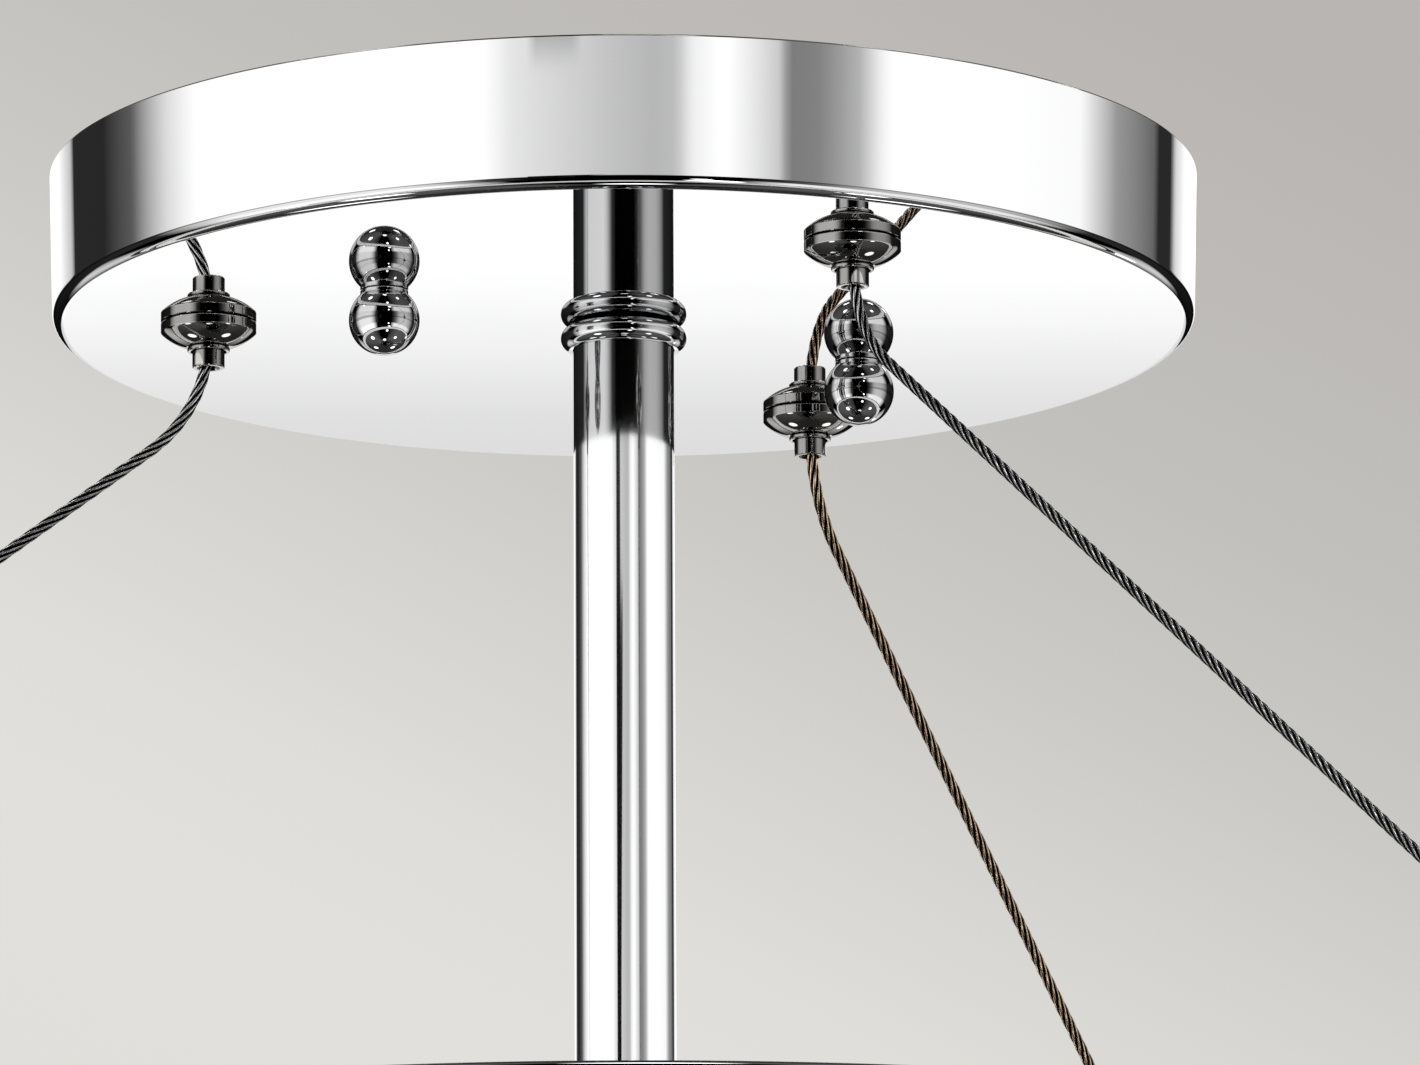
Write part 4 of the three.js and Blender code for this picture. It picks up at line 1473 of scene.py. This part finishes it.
@dataclass
class Studio:
    """Floor, surroundings and soft lights. Bearings are in degrees to the right of the camera's side."""

    floor_drop: float = 2.2
    floor_radius: float = 14.0
    soft_level: float = 0.8
    low_wall_level: float = 0.5
    line_black: float = 0.02
    nadir_black: float = 0.04
    polish_gain: float = 1.43
    line_band: Point = (-18.0, -9.0)
    line_rise: Point = (12.0, 12.3)
    window_band: Point = (-172.0, 172.0)
    window_rise: Point = (-13.2, -14.2)
    overhead_rise: Point = (15.0, 20.0)
    deep_rise: Point = (-17.0, -21.0)
    under_rise: Point = (-46.0, -56.0)
    nadir_rise: Point = (-78.0, -84.0)
    dim_rise: Point = (-0.5, 0.5)
    wall_rise: Point = (7.5, 9.5)
    nadir_cards: tuple[Point, ...] = mirrored((
        (26, 0.02), (40, 0.45), (60, 0.5), (120, 0.5), (150, 0.5), (166, 0.14), (180, 0.14)))
    window_shades: tuple[Point, ...] = (
        (0.15, 0.645), (0.3, 0.67), (0.42, 0.73), (0.6, 0.84), (0.75, 0.9), (0.85, 0.93))
    upper_cards: tuple[Point, ...] = (
        (-180, 0.85), (-158, 0.9), (-147, 0.5), (-145, 0.02), (-128, 0.02), (-116, 0.1), (-104, 0.7),
        (-94, 1.03), (-29, 1.07), (-22, 0.78), (-14, 0.68), (-2, 0.54), (6, 0.47), (10.5, 0.51),
        (13.5, 0.86), (20, 1.04), (26, 0.8), (31.5, 0.56), (32.8, 0.2), (39, 0.22), (43, 0.31),
        (48, 0.45), (53, 0.9), (57, 1.07), (104, 0.95), (110, 0.62), (117, 0.3), (134, 0.12),
        (136, 0.02), (144, 0.02), (147, 0.6), (156, 0.95))
    lower_cards: tuple[Point, ...] = (
        (-180, 0.0), (-106, 0.02), (-96, 0.5), (-86, 0.78), (-46, 0.82), (-38, 0.6), (-27, 0.04), (-18, 0.0),
        (24, 0.0), (31, 0.02), (40, 0.12), (50, 0.42), (61, 0.52), (80, 0.48), (94, 0.3), (106, 0.02),
        (180, 0.0))
    deep_cards: tuple[Point, ...] = (
        (-180, 0.06), (-170, 0.08), (-158, 0.5), (-150, 0.6), (-138, 0.4), (-130, 0.0), (-108, 0.0),
        (-98, 0.5), (-90, 0.95), (-38, 1.0), (-24, 0.0), (24, 0.0), (36, 0.85), (90, 0.8), (98, 0.5),
        (108, 0.0), (130, 0.0), (138, 0.4), (150, 0.6), (158, 0.5), (170, 0.08), (180, 0.06))
    overhead_cards: tuple[Point, ...] = mirrored((
        (22, 0.0), (34, 0.05), (60, 0.13), (115, 0.1), (145, 0.04), (180, 0.03)))
    glints: tuple[Glint, ...] = (
        Glint(20, -35, 6.0), Glint(16, -22, 2.5), Glint(-78, 58, 6.0), Glint(75, 58, 4.5),
        Glint(114, 33, 3.0), Glint(-78, -36, 3.0), Glint(-134, -43, 4.0), Glint(155, -31, 3.0),
        Glint(64, -42, 3.5), Glint(8, 80, 5.0), Glint(-150, 56, 5.0), Glint(150, 56, 5.0),
        Glint(14, 46, 4.0), Glint(-48, -50, 4.0))
    tones: tuple[tuple[float, Colour], ...] = (
        (10.2, (0.745, 0.738, 0.709)), (11.2, (0.752, 0.745, 0.716)), (11.79, (0.745, 0.730, 0.701)),
        (12.19, (0.701, 0.694, 0.665)), (12.59, (0.672, 0.658, 0.631)), (13.36, (0.597, 0.584, 0.558)),
        (14.15, (0.539, 0.527, 0.503)), (15.75, (0.485, 0.462, 0.445)))
    tone_span: Point = (10.0, 16.5)
    card_foot: Point = (-0.12, -9.0)
    card_waist: Point = (0.07, -9.0)
    card_head: Point = (0.16, -3.0)
    card_edge: float = -18.0
    card_steps: int = 6
    lamps: tuple[SoftLamp, ...] = (SoftLamp("key", -35, 40, 1.6, 34), SoftLamp("fill", 60, 25, 2.2, 16),
                                   SoftLamp("under", 10, -35, 2.0, 10))

    def toward(self, bearing: float, rise: float) -> Vector:
        """Direction at a bearing and a rise."""
        right, away = bearing_axes(PHOTO_TURN)
        a, e = math.radians(bearing), math.radians(rise)
        return (right * math.sin(a) - away * math.cos(a)) * math.cos(e) + UP * math.sin(e)

    def cards(self, nodes: NodeBuilder, share: Socket, levels: Sequence[Point]
              ) -> Socket:
        """Grey levels round the horizon, by bearing."""
        return nodes.ramp(share, [(bearing / 360 + 0.5, level) for bearing, level in levels])

    def band(self, nodes: NodeBuilder, share: Socket, first: float, last: float,
             soft: float) -> Socket:
        """Mask of the bearings between two, with soft ends.

        Args:
            nodes: Builder of the world's tree.
            share: Bearing as a share of the full turn.
            first: First bearing.
            last: Last bearing.
            soft: Half the width of each soft end.

        Returns:
            The mask's socket.
        """
        enter = nodes.span(share, (first - soft) / 360 + 0.5, (first + soft) / 360 + 0.5)
        leave = nodes.span(share, (last + soft) / 360 + 0.5, (last - soft) / 360 + 0.5)
        return nodes.math("MULTIPLY", enter, leave)

    def degrees_along(self, nodes: NodeBuilder, direction: Socket, axis: Vector,
                      gain: float = 1.0) -> Socket:
        """Degrees that a ray leans towards an axis, times a gain."""
        return nodes.math("MULTIPLY", nodes.math("ARCSINE", nodes.dot(direction, axis)), math.degrees(gain))

    def polished_world(self, nodes: NodeBuilder, direction: Socket) -> Socket:
        """What polished metal shows: bright walls, dark cards, a dark ceiling and small bright lamps.

        Args:
            nodes: Builder of the world's tree.
            direction: Direction of the ray.

        Returns:
            The level's socket.
        """
        across, near = (nodes.dot(direction, self.toward(bearing, 0)) for bearing in (90, 0))
        bearing = nodes.math("ARCTAN2", across, near)
        share = nodes.math("ADD", nodes.math("DIVIDE", bearing, FULL_TURN), 0.5)
        rise = self.degrees_along(nodes, direction, UP)
        upper, lower, deep, nadir, overhead = (self.cards(nodes, share, levels) for levels in (
            self.upper_cards, self.lower_cards, self.deep_cards, self.nadir_cards, self.overhead_cards))
        line = nodes.math("MULTIPLY", self.band(nodes, share, *self.line_band, 1.0),
                          nodes.span(rise, *self.line_rise))
        upper = nodes.mix(line, upper, self.line_black)
        upper = nodes.mix(nodes.span(rise, *self.overhead_rise), upper, overhead)
        window = nodes.math("SUBTRACT", 1.0, self.band(nodes, share, *self.window_band, 0.5))
        shades = nodes.ramp(nodes.span(rise, *self.window_rise), self.window_shades)
        lower = nodes.mix(nodes.span(rise, *self.deep_rise), nodes.mix(window, lower, shades), deep)
        nadir = nodes.mix(nodes.span(rise, *self.nadir_rise), nadir, self.nadir_black)
        lower = nodes.mix(nodes.span(rise, *self.under_rise), lower, nadir)
        dimmed = nodes.math("MULTIPLY", lower, nodes.span(rise, *self.dim_rise, 1.0, self.low_wall_level))
        level = nodes.mix(nodes.span(rise, *self.wall_rise), dimmed, upper)
        for glint in self.glints:
            closeness = nodes.dot(direction, self.toward(glint.bearing, glint.rise))
            edges = (math.cos(math.radians(radius)) for radius in (glint.radius, glint.radius * glint.core))
            level = nodes.math("ADD", level, nodes.span(closeness, *edges, 0.0, glint.level))
        return nodes.math("MULTIPLY", level, self.polish_gain)

    def backdrop(self, nodes: NodeBuilder, direction: Socket) -> Socket:
        """The warm grey backdrop that the camera sees, lighter low down and to the left."""
        rise = self.degrees_along(nodes, direction, UP)
        aside = self.degrees_along(nodes, direction, self.toward(90, 0), 0.5)
        first, last = self.tone_span
        stops = [((degrees - first) / (last - first), tone) for degrees, tone in self.tones]
        return nodes.ramp(nodes.span(nodes.math("ADD", rise, aside), first, last), stops)

    def build_world(self) -> None:
        """Surroundings: a backdrop for the camera, a bright studio with dark cards for polished metal."""
        world = bpy.data.worlds.new("studio")
        bpy.context.scene.world = world
        world.use_nodes = True
        world.node_tree.nodes.clear()
        nodes = NodeBuilder(world.node_tree)
        direction = nodes.add("ShaderNodeTexCoord").outputs["Generated"]
        paths = nodes.add("ShaderNodeLightPath").outputs
        soft = nodes.mix(paths["Is Glossy Ray"], self.soft_level, self.polished_world(nodes, direction))
        seen = nodes.mix(paths["Is Camera Ray"], soft, self.backdrop(nodes, direction), "RGBA")
        light = nodes.add("ShaderNodeBackground", {"Color": seen})
        nodes.add("ShaderNodeOutputWorld", {"Surface": light.outputs[0]})

    def build_floor(self) -> None:
        """Make a plain pale floor that is seen from above only."""
        disc = bmesh.new()
        bmesh.ops.create_circle(disc, cap_ends=True, segments=96, radius=self.floor_radius)
        floor = linked("floor", mesh_from("floor", disc))
        floor.location = (0, 0, -self.floor_drop)
        floor.visible_glossy = False
        pale = plain_material("floor_pale", (0.74, 0.73, 0.71), 0.9, 0.1)
        tree, nodes = pale.node_tree, NodeBuilder(pale.node_tree)
        under = nodes.add("ShaderNodeNewGeometry").outputs["Backfacing"]
        clear = nodes.add("ShaderNodeBsdfTransparent").outputs[0]
        shader = tree.nodes["Principled BSDF"].outputs[0]
        mix = nodes.add("ShaderNodeMixShader", {0: under, 1: shader, 2: clear})
        nodes.link(mix.outputs[0], tree.nodes["Material Output"].inputs["Surface"])
        floor.data.materials.append(pale)

    def build_card(self) -> None:
        """Make a narrow dark card, wider at its head, that the tube shows as a thin line lower down."""
        sheet = bmesh.new()
        columns = []
        for share in (step / self.card_steps for step in range(self.card_steps + 1)):
            column = []
            for height, last in (self.card_foot, self.card_waist, self.card_head):
                level = self.toward(self.card_edge + (last - self.card_edge) * share, 0)
                column.append(sheet.verts.new((level.x, level.y, height)))
            columns.append(column)
        for left, right in zip(columns, columns[1:]):
            for i in range(len(left) - 1):
                sheet.faces.new((left[i], right[i], right[i + 1], left[i + 1]))
        card = linked("dark_card", mesh_from("dark_card", sheet))
        card.visible_camera = card.visible_diffuse = card.visible_shadow = card.visible_transmission = False
        card.data.materials.append(plain_material("card_black", (0.01, 0.01, 0.01), 1.0, 0.0))

    def build_lamps(self) -> None:
        """Soft lights from both sides of the camera."""
        for lamp in self.lamps:
            data = bpy.data.lights.new(lamp.name, "AREA")
            data.shape = "DISK"
            data.size = lamp.size
            data.energy = lamp.watts
            toward = self.toward(lamp.bearing, lamp.rise)
            made = linked(lamp.name, data)
            made.location = UP * lamp.aim + toward * lamp.distance
            made.rotation_mode = "QUATERNION"
            made.rotation_quaternion = toward.to_track_quat("Z", "Y")
            made.visible_glossy = False

    def build(self) -> None:
        """Make the whole studio."""
        self.build_world()
        self.build_floor()
        self.build_card()
        self.build_lamps()
        bpy.context.scene.view_settings.view_transform = "Standard"


def main() -> None:
    """Build the camera, the ropes, every other piece and the studio."""
    logging.basicConfig(level=logging.INFO, format="%(name)s: %(message)s")
    layout = Layout()
    PhotoCamera().build()
    for i, turn in enumerate(layout.grip_turns, start=1):
        WireRope(i, turn, layout.grip_spread).build()
    Canopy(layout).build()
    BallNuts(layout).build()
    DownTube().build()
    for i, place in enumerate(layout.grips(), start=1):
        CableGrip(i, place).build()
    LampPan().build()
    LampSet(layout).build()
    RimAndDish().build()
    CanopyFixings(layout).build()
    Terminals().build()
    for i, turn in enumerate(layout.grip_turns, start=1):
        RopeAnchor(i, turn).build()
    CarriedNodes().build()
    Studio().build()


if __name__ == "__main__":
    main()
